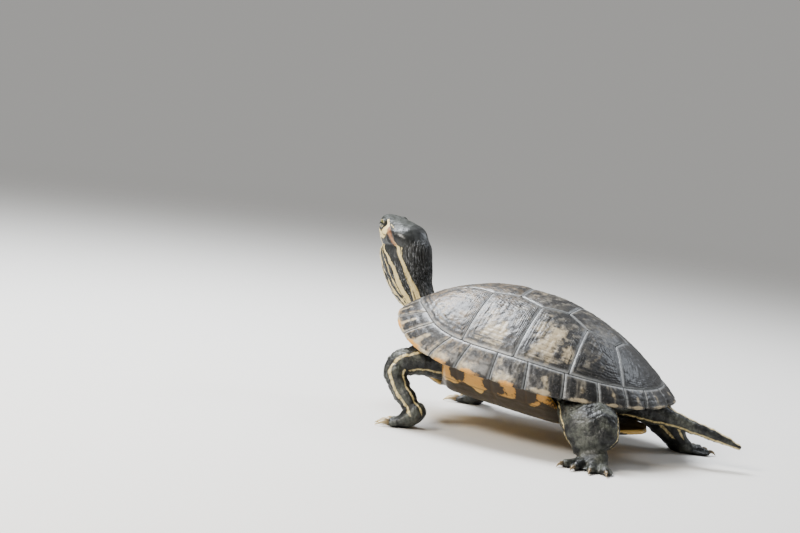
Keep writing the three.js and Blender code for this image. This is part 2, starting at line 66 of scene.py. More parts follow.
def make_camera():
    yaw, elevation = CAMERA_YAW, CAMERA_ELEVATION
    right = Vector((-math.cos(yaw), -math.sin(yaw), 0))
    back = Vector((-math.sin(yaw) * math.cos(elevation), math.cos(yaw) * math.cos(elevation),
                   math.sin(elevation)))
    up = back.cross(right)
    right, up = (right * math.cos(CAMERA_ROLL) + up * math.sin(CAMERA_ROLL),
                 up * math.cos(CAMERA_ROLL) - right * math.sin(CAMERA_ROLL))

    # The lens looks through the middle of the picture, which is up and left of the shell's origin.
    aside = (IMAGE_SIZE[0] / 2 - SHELL_ORIGIN_PIXEL[0]) / FOCAL_PIXELS
    above = (SHELL_ORIGIN_PIXEL[1] - IMAGE_SIZE[1] / 2) / FOCAL_PIXELS
    forward = (-back + right * aside + up * above).normalized()
    up = (up - forward * up.dot(forward)).normalized()
    axes = Matrix((forward.cross(up), up, -forward)).transposed().to_4x4()

    data = bpy.data.cameras.new("camera")
    data.sensor_width = SENSOR_WIDTH
    data.lens = SENSOR_WIDTH * FOCAL_PIXELS / IMAGE_SIZE[0]
    data.clip_start, data.clip_end = 0.01, 60
    camera = linked("camera", data)
    camera.matrix_world = SHELL @ Matrix.Translation(back * CAMERA_DISTANCE) @ axes
    bpy.context.scene.camera = camera


# ---- materials
class Nodes:
    """A material's node tree, built by short calls. Most give back the socket that they make."""

    def __init__(self, name):
        self.material = bpy.data.materials.new(name)
        self.material.use_nodes = True
        self.tree = self.material.node_tree
        self.shader = self.tree.nodes["Principled BSDF"]
        self.place = self.make("ShaderNodeTexCoord", "Object")
        self.colour = None                 # what is painted so far

    def make(self, kind, output, inputs=None, **settings):
        """Adds a node, fills its inputs, given by name or number, and gives back one of its outputs."""
        node = self.tree.nodes.new(kind)
        for key, value in settings.items():
            setattr(node, key, value)
        for key, value in (inputs or {}).items():
            self.put(node.inputs[key], value)
        return node.outputs[output]

    def put(self, socket, value):
        if isinstance(value, bpy.types.NodeSocket):
            self.tree.links.new(value, socket)
        else:
            socket.default_value = (*value, 1) if isinstance(value, tuple) else value

    def field(self, name):
        """A number kept on each vertex of the mesh."""
        return self.make("ShaderNodeAttribute", "Fac", attribute_name=name)

    def noise(self, size, detail, roughness, vector=None, distortion=0.0):
        """Cloudy noise from 0 to 1 with features about `size` mm across."""
        return self.make("ShaderNodeTexNoise", "Fac", {
            "Vector": self.place if vector is None else vector, "Scale": 1 / (size * MM), "Detail": detail,
            "Roughness": roughness, "Distortion": distortion})

    def math(self, operation, a, b=0.0):
        return self.make("ShaderNodeMath", 0, {0: a, 1: b}, operation=operation)

    def plus(self, a, b):
        return self.math("ADD", a, b)

    def minus(self, a, b):
        return self.math("SUBTRACT", a, b)

    def times(self, a, b):
        return self.math("MULTIPLY", a, b)

    def step(self, value, low, high):
        """0 below low, 1 above high, smooth between them; falls when low is above high."""
        return self.make("ShaderNodeMapRange", "Result", {
            "Value": value, "From Min": min(low, high), "From Max": max(low, high),
            "To Min": float(low > high), "To Max": float(low < high)}, interpolation_type="SMOOTHSTEP")

    def mix(self, share, a, b):
        return self.make("ShaderNodeMix", 2, {0: share, 6: a, 7: b}, data_type="RGBA", clamp_factor=True)

    def ragged(self, name, noise, amount):
        """A field whose level strays with a noise, by half the amount either way."""
        return self.plus(self.field(name), self.times(self.minus(noise, 0.5), amount))

    def paint(self, share, colour, strength=1.0):
        """Lays a colour over what is painted so far."""
        share = share if strength == 1 else self.times(share, strength)
        self.colour = self.mix(share, self.colour, colour)

    def bump(self, height, depth, strength):
        """Relief `depth` mm deep."""
        inputs = {"Height": height, "Distance": depth * MM, "Strength": strength}
        self.put(self.shader.inputs["Normal"], self.make("ShaderNodeBump", "Normal", inputs))

    def finish(self, **sockets):
        """Sets sockets of the shader, such as roughness=..., and gives back the material."""
        for key, value in {"base_color": self.colour, **sockets}.items():
            self.put(self.shader.inputs[key.replace("_", " ").title().replace("Ior", "IOR")], value)
        return self.material


def carapace_material():
    """Dark olive-brown horn: smoky clouds and streaks, blue-grey seams, cream smudges and black spots;
    painted shade darkens the growth rings' grooves and the rear of the shell.
    """
    n = Nodes("carapace horn")
    cloud, fleck = n.noise(15, 4, 0.6), n.noise(4.0, 5, 0.62, distortion=0.25)
    blot, speck = n.noise(7.0, 3, 0.55), n.noise(1.0, 4, 0.62)
    n.colour = n.mix(n.step(cloud, 0.36, 0.64), (0.024, 0.023, 0.023), (0.074, 0.068, 0.058))
    streak = n.ragged("streak", fleck, 2.0)
    n.paint(n.step(streak, 0.2, 1.0), (0.215, 0.198, 0.165), 0.55)
    n.paint(n.step(streak, -0.05, -0.8), (0.012, 0.012, 0.013), 0.8)
    n.paint(n.step(blot, 0.53, 0.64), (0.014, 0.014, 0.015), 0.75)
    n.paint(n.times(n.field("warm"), n.step(fleck, 0.44, 0.58)), (0.205, 0.142, 0.078), 0.7)
    cream = n.mix(fleck, (0.33, 0.26, 0.16), (0.44, 0.38, 0.27))
    n.paint(n.step(n.ragged("cream", fleck, 2.0), 0.30, 1.0), cream, 0.85)
    # This field holds black clouds and dark lines, and painted shade towards the rear.
    n.paint(n.step(n.ragged("dark_and_shade", fleck, 1.1), 0.30, 0.75), (0.009, 0.009, 0.010), 0.92)
    orange = n.mix(speck, (0.46, 0.20, 0.04), (0.62, 0.36, 0.10))
    n.paint(n.step(n.ragged("orange", fleck, 0.8), 0.4, 0.7), orange)
    seam = n.ragged("edge", speck, 0.8)
    n.paint(n.step(seam, 2.0, 0.5), (0.265, 0.277, 0.286), 0.62)
    n.paint(n.step(seam, 0.40, 0.08), (0.022, 0.023, 0.025), 0.75)
    # Painted shade: the growth rings' grooves are darkened by their depth.
    n.paint(n.field("shaded_groove"), (0.018, 0.018, 0.018), 0.6)
    n.paint(n.step(speck, 0.54, 0.75), (0.27, 0.26, 0.24), 0.35)
    n.bump(n.plus(n.times(n.noise(0.8, 4, 0.7), 0.6), n.noise(3, 4, 0.6)), 0.3, 0.75)
    return n.finish(roughness=n.plus(0.30, n.times(fleck, 0.30)), specular_ior_level=0.38, coat_weight=0.3,
                    coat_roughness=0.28)


# ---- carapace surface, in the shell's frame, mm
# Angle 0 is the front of the rim and a quarter turn is the animal's left; radius is 1 at the rim.
LENGTH = SHELL_LENGTH / MM
MIDDLE, HALF_WIDTH = 0.034, 0.39           # of the plan, in shell lengths
SHELL_MIDDLE = np.array([MIDDLE * LENGTH, 0, 0])
FRONT_POWER, REAR_POWER = 3.29, 2.25       # of the plan's two half superellipses
TAPER = 0.062                              # how much the plan narrows towards the front
HEIGHT, FRONT_RISE, REAR_RISE, SIDE_RISE = 0.25, 0.092, -0.005, -0.021
# The roof falls to the rim as (1 - radius ** bend) ** lift, with [bend, lift] going from one way to the next.
PROFILE = {"side": (1.86, 0.75), "front": (2.34, 0.98), "rear": (1.89, 0.995)}
SIDE_REACH = 70.0                          # the half width over which a thickness is drawn in
PLATE = 3.2                                # thickness of the shell


def columns(*parts):
    """Arrays of numbers put side by side."""
    return np.stack(parts, axis=-1)


def unit(vectors):
    vectors = np.asarray(vectors, float)
    return vectors / np.maximum(np.linalg.norm(vectors, axis=-1, keepdims=True), 1e-12)


def signed_power(value, power):
    return np.sign(value) * np.abs(value) ** power


def plan_point(radius, angle):
    """(x, y) on the plan, in shell lengths."""
    c, s = np.cos(angle), np.sin(angle)
    power = np.where(c >= 0, FRONT_POWER, REAR_POWER)
    reach = np.where(c >= 0, 0.5 - MIDDLE, 0.5 + MIDDLE)
    x = MIDDLE + radius * reach * signed_power(c, 2 / power)
    return x, HALF_WIDTH * signed_power(s, 2 / power) * radius * (1 - 2 * TAPER * x)


def plan_polar(x, y):
    """(radius, angle) of a point of the plan: the reverse of plan_point."""
    ahead = x - MIDDLE
    aside = y / (1 - 2 * TAPER * x) / HALF_WIDTH
    power = np.where(ahead >= 0, FRONT_POWER, REAR_POWER)
    ahead = ahead / np.where(ahead >= 0, 0.5 - MIDDLE, 0.5 + MIDDLE)
    radius = np.maximum((np.abs(ahead) ** power + np.abs(aside) ** power) ** (1 / power), 1e-6)
    aside, ahead = (signed_power(share / radius, power / 2) for share in (aside, ahead))
    return radius, np.arctan2(aside, ahead)


def rim_level(angle):
    c, s = np.cos(angle), np.sin(angle)
    return FRONT_RISE * np.maximum(c, 0) ** 2 + REAR_RISE * np.maximum(-c, 0) ** 2 + SIDE_RISE * s ** 2


def surface_height(radius, angle):
    """Height of the outer face, in shell lengths."""
    ahead, astern = np.maximum(np.cos(angle), 0) ** 2, np.maximum(-np.cos(angle), 0) ** 2
    bend, lift = (PROFILE["side"][i] + (PROFILE["front"][i] - PROFILE["side"][i]) * ahead
                  + (PROFILE["rear"][i] - PROFILE["side"][i]) * astern for i in (0, 1))
    dome = HEIGHT * np.clip(1 - radius ** bend, 0, 1) ** lift
    return rim_level(angle) * radius ** 2 + dome


def shell_face(radius, angle):
    """Points of the outer face, in mm."""
    x, y = plan_point(radius, angle)
    return columns(x, y, surface_height(radius, angle)) * LENGTH


def roof(x, y):
    """The outer face over plan points in mm, as an array of points in mm."""
    radius, angle = plan_polar(x / LENGTH, y / LENGTH)
    return columns(x, y, surface_height(np.minimum(radius, 1), angle) * LENGTH)


def roof_normal(x, y, step=0.4):
    across = roof(x, y + step) - roof(x, y - step)
    along = roof(x + step, y) - roof(x - step, y)
    return unit(np.cross(along, across))


# ---- scute layout, in shell lengths
# The row along the back, whose joints and outer corners are [behind the front edge, aside].
VERTEBRAL_FRONT = 0.062
VERTEBRAL_JOINTS = ((0.215, 0.098), (0.42, 0.098), (0.605, 0.09), (0.785, 0.06))
VERTEBRAL_SIDES = ((0.325, 0.125), (0.515, 0.13), (0.69, 0.115))
COSTAL_RIM_PLACES = (0.33, 0.53, 0.725, 0.885)   # behind the front edge, where each costal's rear seam ends


def marginal_seam(angle):
    """The seam between costals and marginals, as a share of the way out to the rim."""
    turn = np.abs(np.arctan2(np.sin(angle), np.cos(angle)))
    shoulder = np.exp(-(((turn - 0.75) / 0.35) ** 2))
    return 0.875 - 0.033 * shoulder + 0.025 * np.maximum(-np.cos(turn), 0) ** 2


def angle_where(behind_front, radius_of):
    """The rim angle at which a ring lies a given distance behind the front edge."""
    low, high = 0.0, math.pi
    for _ in range(40):
        middle = (low + high) / 2
        if 0.5 - float(plan_point(radius_of(middle), middle)[0]) < behind_front:
            low = middle
        else:
            high = middle
    return low


def plan_mm(behind_front, aside):
    return ((0.5 - behind_front) * LENGTH, aside * LENGTH)


def seam_curve(start, end, steps):
    """The marginals' inner seam from one rim angle to another, as plan points in mm."""
    angles = np.linspace(start, end, steps + 1)
    x, y = plan_point(marginal_seam(angles), angles)
    return [(px * LENGTH, py * LENGTH) for px, py in zip(x, y)]


def mirrored(outline):
    return [(x, -y) for x, y in reversed(outline)]


def scute_outlines():
    """Plan outline of each vertebral and costal scute, in mm."""
    seams = [angle_where(place, marginal_seam) for place in (VERTEBRAL_FRONT, *COSTAL_RIM_PLACES)]
    node = [plan_mm(*place) for place in VERTEBRAL_JOINTS]
    side = [plan_mm(*place) for place in VERTEBRAL_SIDES]
    first, last = node[0], node[3]
    rear = seam_curve(seams[4], 2 * math.pi - seams[4], 30)
    outlines = {"vertebral_1": [*seam_curve(-seams[0], seams[0], 12), first, (first[0], -first[1])]}
    for i in range(3):
        half = [node[i], side[i], node[i + 1]]
        outlines[f"vertebral_{i + 2}"] = half + mirrored(half)
    outlines["vertebral_5"] = [last, *rear, (last[0], -last[1])]
    for i in range(4):
        inner = [*side[i:i + 1], node[i], *side[max(i - 1, 0):i]]
        outline = [*seam_curve(seams[i], seams[i + 1], 18), *inner]
        outlines[f"costal_left_{i + 1}"] = outline
        outlines[f"costal_right_{i + 1}"] = mirrored(outline)
    return outlines


# ---- making pieces
def waves(points, size, seed, count=16):
    """A smooth random field over points, about -1 to 1, with bumps about `size` across."""
    draw = np.random.default_rng(seed)
    directions = draw.normal(size=(count, points.shape[-1]))
    directions /= np.linalg.norm(directions, axis=1, keepdims=True)
    pitch = 2 * math.pi / (2 * size * draw.uniform(0.7, 1.5, count))
    phases = draw.uniform(0, 2 * math.pi, count)
    return np.sin(points @ (directions * pitch[:, None]).T + phases).sum(axis=-1) * math.sqrt(2 / count) / 1.6


def smooth_step(value, low, high):
    t = np.clip((value - low) / (high - low), 0, 1)
    return t * t * (3 - 2 * t)


def lerp(a, b, share):
    return a + (b - a) * share


def bell(value, width):
    return np.exp(-(value / width) ** 2)


def run_along(points, axis=0):
    """How far along its line each point lies."""
    steps = np.linalg.norm(np.diff(points, axis=axis), axis=-1)
    return np.concatenate([np.zeros_like(steps.take([0], axis)), np.cumsum(steps, axis=axis)], axis=axis)


def in_shell(points):
    """Points of the shell's frame, in mm, in the model's frame, in metres."""
    matrix = np.array(SHELL)
    return (points * MM) @ matrix[:3, :3].T + matrix[:3, 3]


def linked(name, data):
    """A new object of the scene."""
    made = bpy.data.objects.new(name, data)
    bpy.context.scene.collection.objects.link(made)
    return made


def closed_mesh(name, points, faces):
    """A mesh of points in metres whose faces look outwards."""
    mesh = bpy.data.meshes.new(name)
    mesh.from_pydata(points.tolist(), [], faces)
    work = bmesh.new()
    work.from_mesh(mesh)
    bmesh.ops.recalc_face_normals(work, faces=work.faces)
    work.to_mesh(mesh)
    work.free()
    return mesh


def dress(mesh, fields, material):
    """Gives a smooth mesh its fields, which are numbers for each vertex, and its one material."""
    for key, values in fields.items():
        layer = mesh.attributes.new(key, "FLOAT", "POINT")
        layer.data.foreach_set("value", np.asarray(values, dtype=np.float32).ravel())
    mesh.polygons.foreach_set("use_smooth", [True] * len(mesh.polygons))
    mesh.materials.clear()
    mesh.materials.append(material)


def make_piece(name, points, faces, fields, material, nodes):
    """A closed piece of points in metres that stands for CAD nodes."""
    piece = linked(name, closed_mesh(name, points, faces))
    dress(piece.data, fields, material)
    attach(piece, "root")
    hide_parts(*nodes)


def grid_faces(rows, count, first=0, closed=False):
    """Quads between rows of `count` points each, which go round when closed."""
    faces = []
    for i in range(rows - 1):
        for j in range(count if closed else count - 1):
            a, b = first + i * count + j, first + i * count + (j + 1) % count
            faces.append((a, b, b + count, a + count))
    return faces


def fan(first, count, tip):
    """Triangles between a closed ring of vertices and a tip."""
    return [(first + j, first + (j + 1) % count, tip) for j in range(count)]


def even_outline(outline, spacing):
    """A closed plan outline as evenly spaced points, its corners a little rounded."""
    loop = np.array([*outline, outline[0]])
    run = run_along(loop)
    places = np.linspace(0, run[-1], max(12, round(run[-1] / spacing)), endpoint=False)
    points = columns(np.interp(places, run, loop[:, 0]), np.interp(places, run, loop[:, 1]))
    for _ in range(2):
        points = (np.roll(points, 1, axis=0) + 2 * points + np.roll(points, -1, axis=0)) / 4
    return points


def to_segment(points, start, end):
    """Where on a segment each point's nearest place lies, as a share of it, and how far off that is."""
    along = end - start
    share = np.clip(((points - start) @ along) / (along @ along), 0, 1)
    return share, np.linalg.norm(points - start - share[:, None] * along, axis=1)


def edge_distance(points, outline):
    """Distance of each plan point to a closed outline."""
    ends = np.roll(outline, -1, axis=0)
    return np.min([to_segment(points, start, end)[1] for start, end in zip(outline, ends)], axis=0)


def drawn_in(ring, middle, shares):
    """Copies of a ring drawn in towards its middle, and then the middle."""
    return np.concatenate([middle + (ring - middle) * share for share in shares] + [middle[None]])


# ---- scutes of the roof
SPACING = 0.7                              # between neighbouring points of a scute
SEAM_INSET = 0.04                          # each scute ends this far from the seam
SEAM_DEPTH, SEAM_WIDTH = 0.36, 0.9         # of the groove along a seam
SCUTE_SWELL, SWELL_WIDTH = 0.45, 3.2       # a scute bulges a little between its seams
RING_PLACES = (0.34, 0.47, 0.585, 0.685, 0.775, 0.855, 0.925)   # growth rings: shares of the way out
RING_DEPTH, RING_WIDTH = 0.16, 0.34
KEEL_HEIGHT, KEEL_WIDTH = 1.1, 5.0
KEEL_REAR, KEEL_FRONT = (-75, -45), (35, 62)   # it rises over the one stretch and fades over the other
UNDER_SHARES = (1, 0.6)                    # where a scute's under face has its rings
AREOLA_BACK, AREOLA_UP = 0.16, 0.14        # a scute's oldest part lies behind its middle, nearer the keel
WARM_FROM = (-15, 55)                      # the horn turns a warmer brown from here forwards

# Clouds of colour on the roof: [behind the front edge, left of the midline, radius along, radius across,
# strength], in shell lengths. Their edges stray by CLOUD_DRIFT mm.
CREAM_CLOUDS = (
    (0.41, 0.28, 0.055, 0.06, 1.1), (0.62, 0.26, 0.065, 0.085, 1.2), (0.20, 0.26, 0.05, 0.05, 0.6),
    (0.78, 0.2, 0.02, 0.04, 0.6), (0.45, 0.02, 0.05, 0.03, 0.5), (0.63, -0.02, 0.06, 0.03, 0.5),
    (0.42, -0.25, 0.04, 0.05, 0.9), (0.61, -0.26, 0.05, 0.06, 0.9), (0.22, -0.24, 0.05, 0.05, 0.6))
DARK_CLOUDS = ((0.33, 0.18, 0.03, 0.03, 0.8), (0.50, 0.20, 0.02, 0.05, 0.7), (0.71, 0.17, 0.02, 0.02, 0.6),
               (0.80, 0.14, 0.03, 0.03, 0.8), (0.30, 0.05, 0.03, 0.04, 0.5), (0.52, -0.18, 0.03, 0.04, 0.7),
               (0.13, 0.17, 0.022, 0.03, 0.8), (0.21, 0.15, 0.03, 0.018, 0.7), (0.26, 0.25, 0.02, 0.05, 0.8),
               (0.16, 0.30, 0.02, 0.02, 0.7), (0.44, 0.16, 0.045, 0.02, 0.7),
               (0.58, 0.15, 0.04, 0.02, 0.8), (0.14, -0.18, 0.03, 0.03, 0.7),
               (0.35, -0.2, 0.03, 0.03, 0.7), (0.72, -0.2, 0.03, 0.03, 0.7), (0.9, 0.05, 0.05, 0.1, 0.5))
CLOUD_DRIFT = 6.0


def clouds(x, y, places):
    total = np.zeros_like(x)
    for behind, aside, long, wide, strength in places:
        centre = plan_mm(behind, aside)
        away = np.hypot((x - centre[0]) / long, (y - centre[1]) / wide)
        total = np.maximum(total, strength * bell(away, LENGTH))
    return total


def keel(x, y):
    """A low ridge along the back that rises towards the rear of each vertebral scute."""
    rise = sum(bell(x - plan_mm(*joint)[0] - 5, 8) for joint in VERTEBRAL_JOINTS[1:])
    height = KEEL_HEIGHT * bell(y, KEEL_WIDTH) * (0.35 + 0.65 * np.clip(rise, 0, 1))
    return height * smooth_step(x, *KEEL_REAR) * (1 - smooth_step(x, *KEEL_FRONT))


def ring_grooves(share, reach, wobble):
    """Growth rings, 1 in the middle of a groove; reach is the distance from the areola to the edge."""
    total = np.zeros_like(share)
    for place in RING_PLACES:
        total += (0.35 + 0.65 * place) * bell((share - place) * reach + wobble, RING_WIDTH)
    return total


def horn_detail(place, edge, shaded_groove):
    """How far a scute's face stands out from the plain shell, in mm."""
    seam = -SEAM_DEPTH * bell(edge, SEAM_WIDTH)
    swell = SCUTE_SWELL * (1 - np.exp(-edge / SWELL_WIDTH)) - 0.15
    grain = 0.05 * waves(place, 0.9, 12, 24) + 0.09 * waves(place, 2.4, 13)
    return seam + swell - RING_DEPTH * shaded_groove + grain * smooth_step(edge, 0.2, 1.5)


def scute_markings(plan, areola, edge, share):
    """The fields that colour a scute of the roof. Share is 0 at the areola and 1 at the edge."""
    x, y = plan.T
    away = plan - areola
    spokes = columns(np.arctan2(away[:, 1], away[:, 0]) * 16, np.hypot(*away.T) * 0.1)
    streak = 0.6 * waves(spokes, 1.5, 14) * smooth_step(share, 0.2, 0.7) + 0.7 * waves(plan, 3, 16)
    radius, _ = plan_polar(x / LENGTH, y / LENGTH)
    lines = (bell(edge - 2.4, 0.6) + 0.9 * bell(edge - 5.0, 0.6)) * smooth_step(radius, 0.64, 0.78)
    lines *= 0.6 + 0.7 * smooth_step(x, 0, 45)
    drift = CLOUD_DRIFT * np.stack([waves(plan, 9, 17), waves(plan, 9, 18)])
    cream = clouds(x + drift[0], y + drift[1], CREAM_CLOUDS)
    dark_and_shade = np.maximum(clouds(x + drift[1], y + drift[0], DARK_CLOUDS), lines)
    # Painted shade: the roof grows darker towards the rear.
    dark_and_shade += 0.8 * smooth_step(-x, 26, 68)
    return {"cream": cream, "dark_and_shade": dark_and_shade, "warm": smooth_step(x, *WARM_FROM), "streak": streak}


def make_scute(name, outline, material):
    ring = even_outline(outline, SPACING)
    middle = ring.mean(axis=0)
    side = np.sign(middle[1]) if abs(middle[1]) > 1 else 0
    areola = middle - np.array([AREOLA_BACK, side * AREOLA_UP]) * np.ptp(ring, axis=0)
    out = ring - areola
    reach = np.linalg.norm(out, axis=1)
    ring = ring - SEAM_INSET * out / reach[:, None]

    count, rows = len(ring), math.ceil(reach.max() / SPACING)
    shares = np.linspace(0, 1, rows + 1)[1:]
    plan = drawn_in(ring, areola, shares)
    share = np.append(np.repeat(shares, count), 0)
    shaded_groove = ring_grooves(share, np.append(np.tile(reach, rows), 1), 0.35 * waves(plan, 5, 11))
    edge = edge_distance(plan, ring)
    x, y = plan.T
    top = roof(x, y) + roof_normal(x, y) * (horn_detail(plan, edge, shaded_groove) + keel(x, y))[:, None]

    # The side wall and the under face close the plate.
    below = drawn_in(ring, areola, UNDER_SHARES)
    under = roof(*below.T) - PLATE * roof_normal(*below.T)
    tip, rim = len(plan), (rows - 1) * count
    faces = grid_faces(rows, count, closed=True) + fan(0, count, tip - 1)
    faces += [(rim + j, rim + (j + 1) % count, tip + (j + 1) % count, tip + j) for j in range(count)]
    faces += grid_faces(2, count, tip, closed=True) + fan(tip + count, count, tip + 2 * count)
    fields = {"edge": edge, "shaded_groove": shaded_groove, **scute_markings(plan, areola, edge, share)}
    fields = {key: np.append(values, np.zeros(len(under))) for key, values in fields.items()}
    make_piece(name, in_shell(np.concatenate([top, under])), faces, fields, material, [name])


# ---- marginal scutes
# Where the joints between them meet the rim and the costal seam, as rim angles in degrees from the front.
RIM_JOINTS = (1.7, 14, 29, 49, 72, 84, 91, 103, 118, 134, 148.5, 161, 180)
SEAM_JOINTS = (1.7, 20, 44, 59, 75.5, 84.5, 90.5, 102.5, 119, 135, 150, 165, 180)
LIP_DROP = 0.9                             # the rim's underside lies this far below its edge
TOP_ROWS, LIP_ROWS, UNDER_ROWS = 26, 4, 16
UNDER_REACH = 0.83                         # the underside goes in to this share of the way out
BLOTCH_RADIUS = 4.6                        # of the black spot under each joint
MARGINAL_RINGS = ((0.62, 0.035, 0.8), (0.35, 0.04, 0.6))   # growth rings: [place, width, strength]
RIM_NOTCH, RIM_NOTCH_WIDTH = 1.9, 2.4      # of the notches between the rear marginals


def inward_from(points):
    """Unit vectors level with the plan, towards the shell's middle."""
    return unit(columns(SHELL_MIDDLE[0] - points[..., 0], -points[..., 1], 0 * points[..., 0]))


def marginal_section(rim_angle, seam_angle):
    """Rows of points, in mm, from the costal seam over the rim and back inside; and each row's place.

    The place is 0 at the seam, 1 at the rim and 2 at the inner end of the underside."""
    start = marginal_seam(seam_angle)
    places = list(1 - (1 - np.linspace(0, 1, TOP_ROWS)) ** 1.4)
    rows = [shell_face(lerp(start, 1, share), lerp(seam_angle, rim_angle, share)) for share in places]
    edge, inward = rows[-1], inward_from(rows[-1])
    for i in range(1, LIP_ROWS + 1):
        turn = i / LIP_ROWS * math.pi / 2
        rows.append(edge + inward * LIP_DROP * (1 - math.cos(turn)) + (0, 0, -LIP_DROP * math.sin(turn)))
        places.append(1 + 0.04 * i / LIP_ROWS)
    low = rows[-1]
    for share in np.linspace(0, 1, UNDER_ROWS + 1)[1:]:
        inner = shell_face(lerp(1, UNDER_REACH, share), lerp(rim_angle, seam_angle, share))
        inner = SHELL_MIDDLE + (inner - SHELL_MIDDLE) * (1 - PLATE / SIDE_REACH)
        rows.append(lerp(low + inward * share * 10, inner, smooth_step(share, 0, 0.3)))
        places.append(1.04 + 0.96 * share)
    return np.array(rows), np.array(places)


def marginal_markings(number, share, place, joint):
    """Dark, cream and orange fields of marginal `number`. Share runs along it, place goes round its edge.

    Joint is the distance to the nearer joint with its neighbours."""
    front, rimmed = number <= 4, number <= 7
    if front:
        bars = np.maximum(bell(share - 0.27, 0.12), bell(share - 0.72, 0.12)) * smooth_step(place, 0.0, 0.2)
        dark_and_shade = 1.7 * bars * (1 - smooth_step(place, 0.78, 0.9))
        dark_and_shade += 1.3 * bell(share - 0.5, 0.3) * bell(place - 0.2, 0.14)
        cream = bell(share - 0.5, 0.1) * smooth_step(place, 0.3, 0.45)
        cream += 0.8 * bell(np.abs(share - 0.5) - 0.47, 0.06)
    elif rimmed:
        dark_and_shade = 1.5 * bell(share - 0.95, 0.2) * smooth_step(place, 0.4, 0.7)
        dark_and_shade += 1.1 * bell(share - 0.42, 0.16) * bell(place - 0.42, 0.25)
        cream = 0.9 * bell(share - 0.45, 0.3) * smooth_step(place, 0.6, 0.9) + 0.6 * bell(share - 0.15, 0.1)
    else:
        bars = np.maximum(bell(share - 0.2, 0.12), bell(share - 0.8, 0.12))
        dark_and_shade = bars * smooth_step(place, 0.1, 0.3) * (1 - smooth_step(place, 0.85, 0.97))
        cream = 0.8 * bell(share - 0.5, 0.1) * bell(place - 0.55, 0.25)
        cream += 1.2 * bell(share - 0.45, 0.26) * smooth_step(place, 0.86, 0.97)
    top, under = 1 - smooth_step(place, 0.98, 1.06), smooth_step(place, 1.0, 1.08)
    spot = 1 - smooth_step(joint, BLOTCH_RADIUS - 1, BLOTCH_RADIUS + 1)
    blotch = 1.6 * under * spot * bell(place - 1.45, 0.33)
    rim = 0.75 * smooth_step(place, 0.84, 1.0) * bell(share - 0.5, 0.36) * rimmed
    return {"dark_and_shade": np.where(place > 1.02, blotch, dark_and_shade * top),
            "cream": np.maximum(cream, 1.1 * bell(place - 1.0, 0.06) * (front + 0.4)) * top,
            "orange": np.maximum(under * (1 - smooth_step(blotch, 0.3, 0.6)), rim)}


def make_marginal(name, number, rim_angles, seam_angles, material, mirror, nodes):
    width = np.linalg.norm(np.subtract(*[np.array(plan_point(1.0, angle)) for angle in rim_angles])) * LENGTH
    steps = max(8, math.ceil(width / SPACING))
    shares = np.linspace(0, 1, steps + 1)
    points, places = marginal_section(lerp(*rim_angles, shares), lerp(*seam_angles, shares))
    run, out = run_along(points, 1), run_along(points, 0)
    joint = np.minimum(run, run[:, -1:] - run)
    edge = np.minimum(joint, out)
    share, place = np.broadcast_arrays(shares, places[:, None])
    shaded_groove = sum(strength * bell(place - ring, size) for ring, size, strength in MARGINAL_RINGS)
    shaded_groove = (shaded_groove + 0.5 * bell(share - 0.13, 0.03)) * (place < 1.0)
    relief = horn_detail(points.reshape(-1, 3), edge.ravel(), shaded_groove.ravel()).reshape(edge.shape)
    relief = relief * np.where(place > 1.5, 1 - smooth_step(place, 1.5, 2.0), 1)
    normals = unit(np.cross(np.gradient(points, axis=0), np.gradient(points, axis=1)))
    if normals[TOP_ROWS // 2, :, 2].sum() < 0:
        normals = -normals
    notch = RIM_NOTCH * smooth_step(number, 7, 10) * bell(joint, RIM_NOTCH_WIDTH) * bell(place - 1, 0.25)
    points = points + normals * relief[..., None] + inward_from(points) * notch[..., None]

    # Draw the ends in by the inset, then close the plate behind and at both ends.
    ends = (SEAM_INSET / np.maximum(run[:, -1:], 1e-6)) * (1 - 2 * shares)
    points = points + (points[:, -1:] - points[:, :1]) * ends[..., None]
    if mirror:
        points = points * (1, -1, 1)
    rows, count = edge.shape
    last = (rows - 1) * count
    faces = grid_faces(rows, count) + [(last + j, last + j + 1, j + 1, j) for j in range(steps)]
    faces += [[i * count + end for i in range(rows)] for end in (0, steps)]

    fields = {"edge": edge, "shaded_groove": shaded_groove, **marginal_markings(number, share, place, joint)}
    # Painted shade: the marginals' tops grow darker towards the rear.
    fields["dark_and_shade"] = fields["dark_and_shade"] + 0.3 * (place < 1) * smooth_step(-points[..., 0], 18, 62)
    fields["warm"] = smooth_step(points[..., 0], *WARM_FROM)
    fields["streak"] = waves(columns(run.ravel(), 0.12 * out.ravel() + 40 * number), 1.1, 15)
    make_piece(name, in_shell(points.reshape(-1, 3)), faces, fields, material, nodes)


def make_carapace():
    material = carapace_material()
    for name, outline in scute_outlines().items():
        make_scute(name, outline, material)
    rim, seam = np.radians(RIM_JOINTS), np.radians(SEAM_JOINTS)
    for side, mirror in (("left", False), ("right", True)):
        for i in range(len(rim) - 1):
            make_marginal(f"marginal_{side}_{i + 1}", i + 1, rim[i:i + 2], seam[i:i + 2], material, mirror,
                          [f"marginals_{side}"])
    make_marginal("nuchal_scute", 0, (-rim[0], rim[0]), (-seam[0], seam[0]), material, False, ["nuchal"])


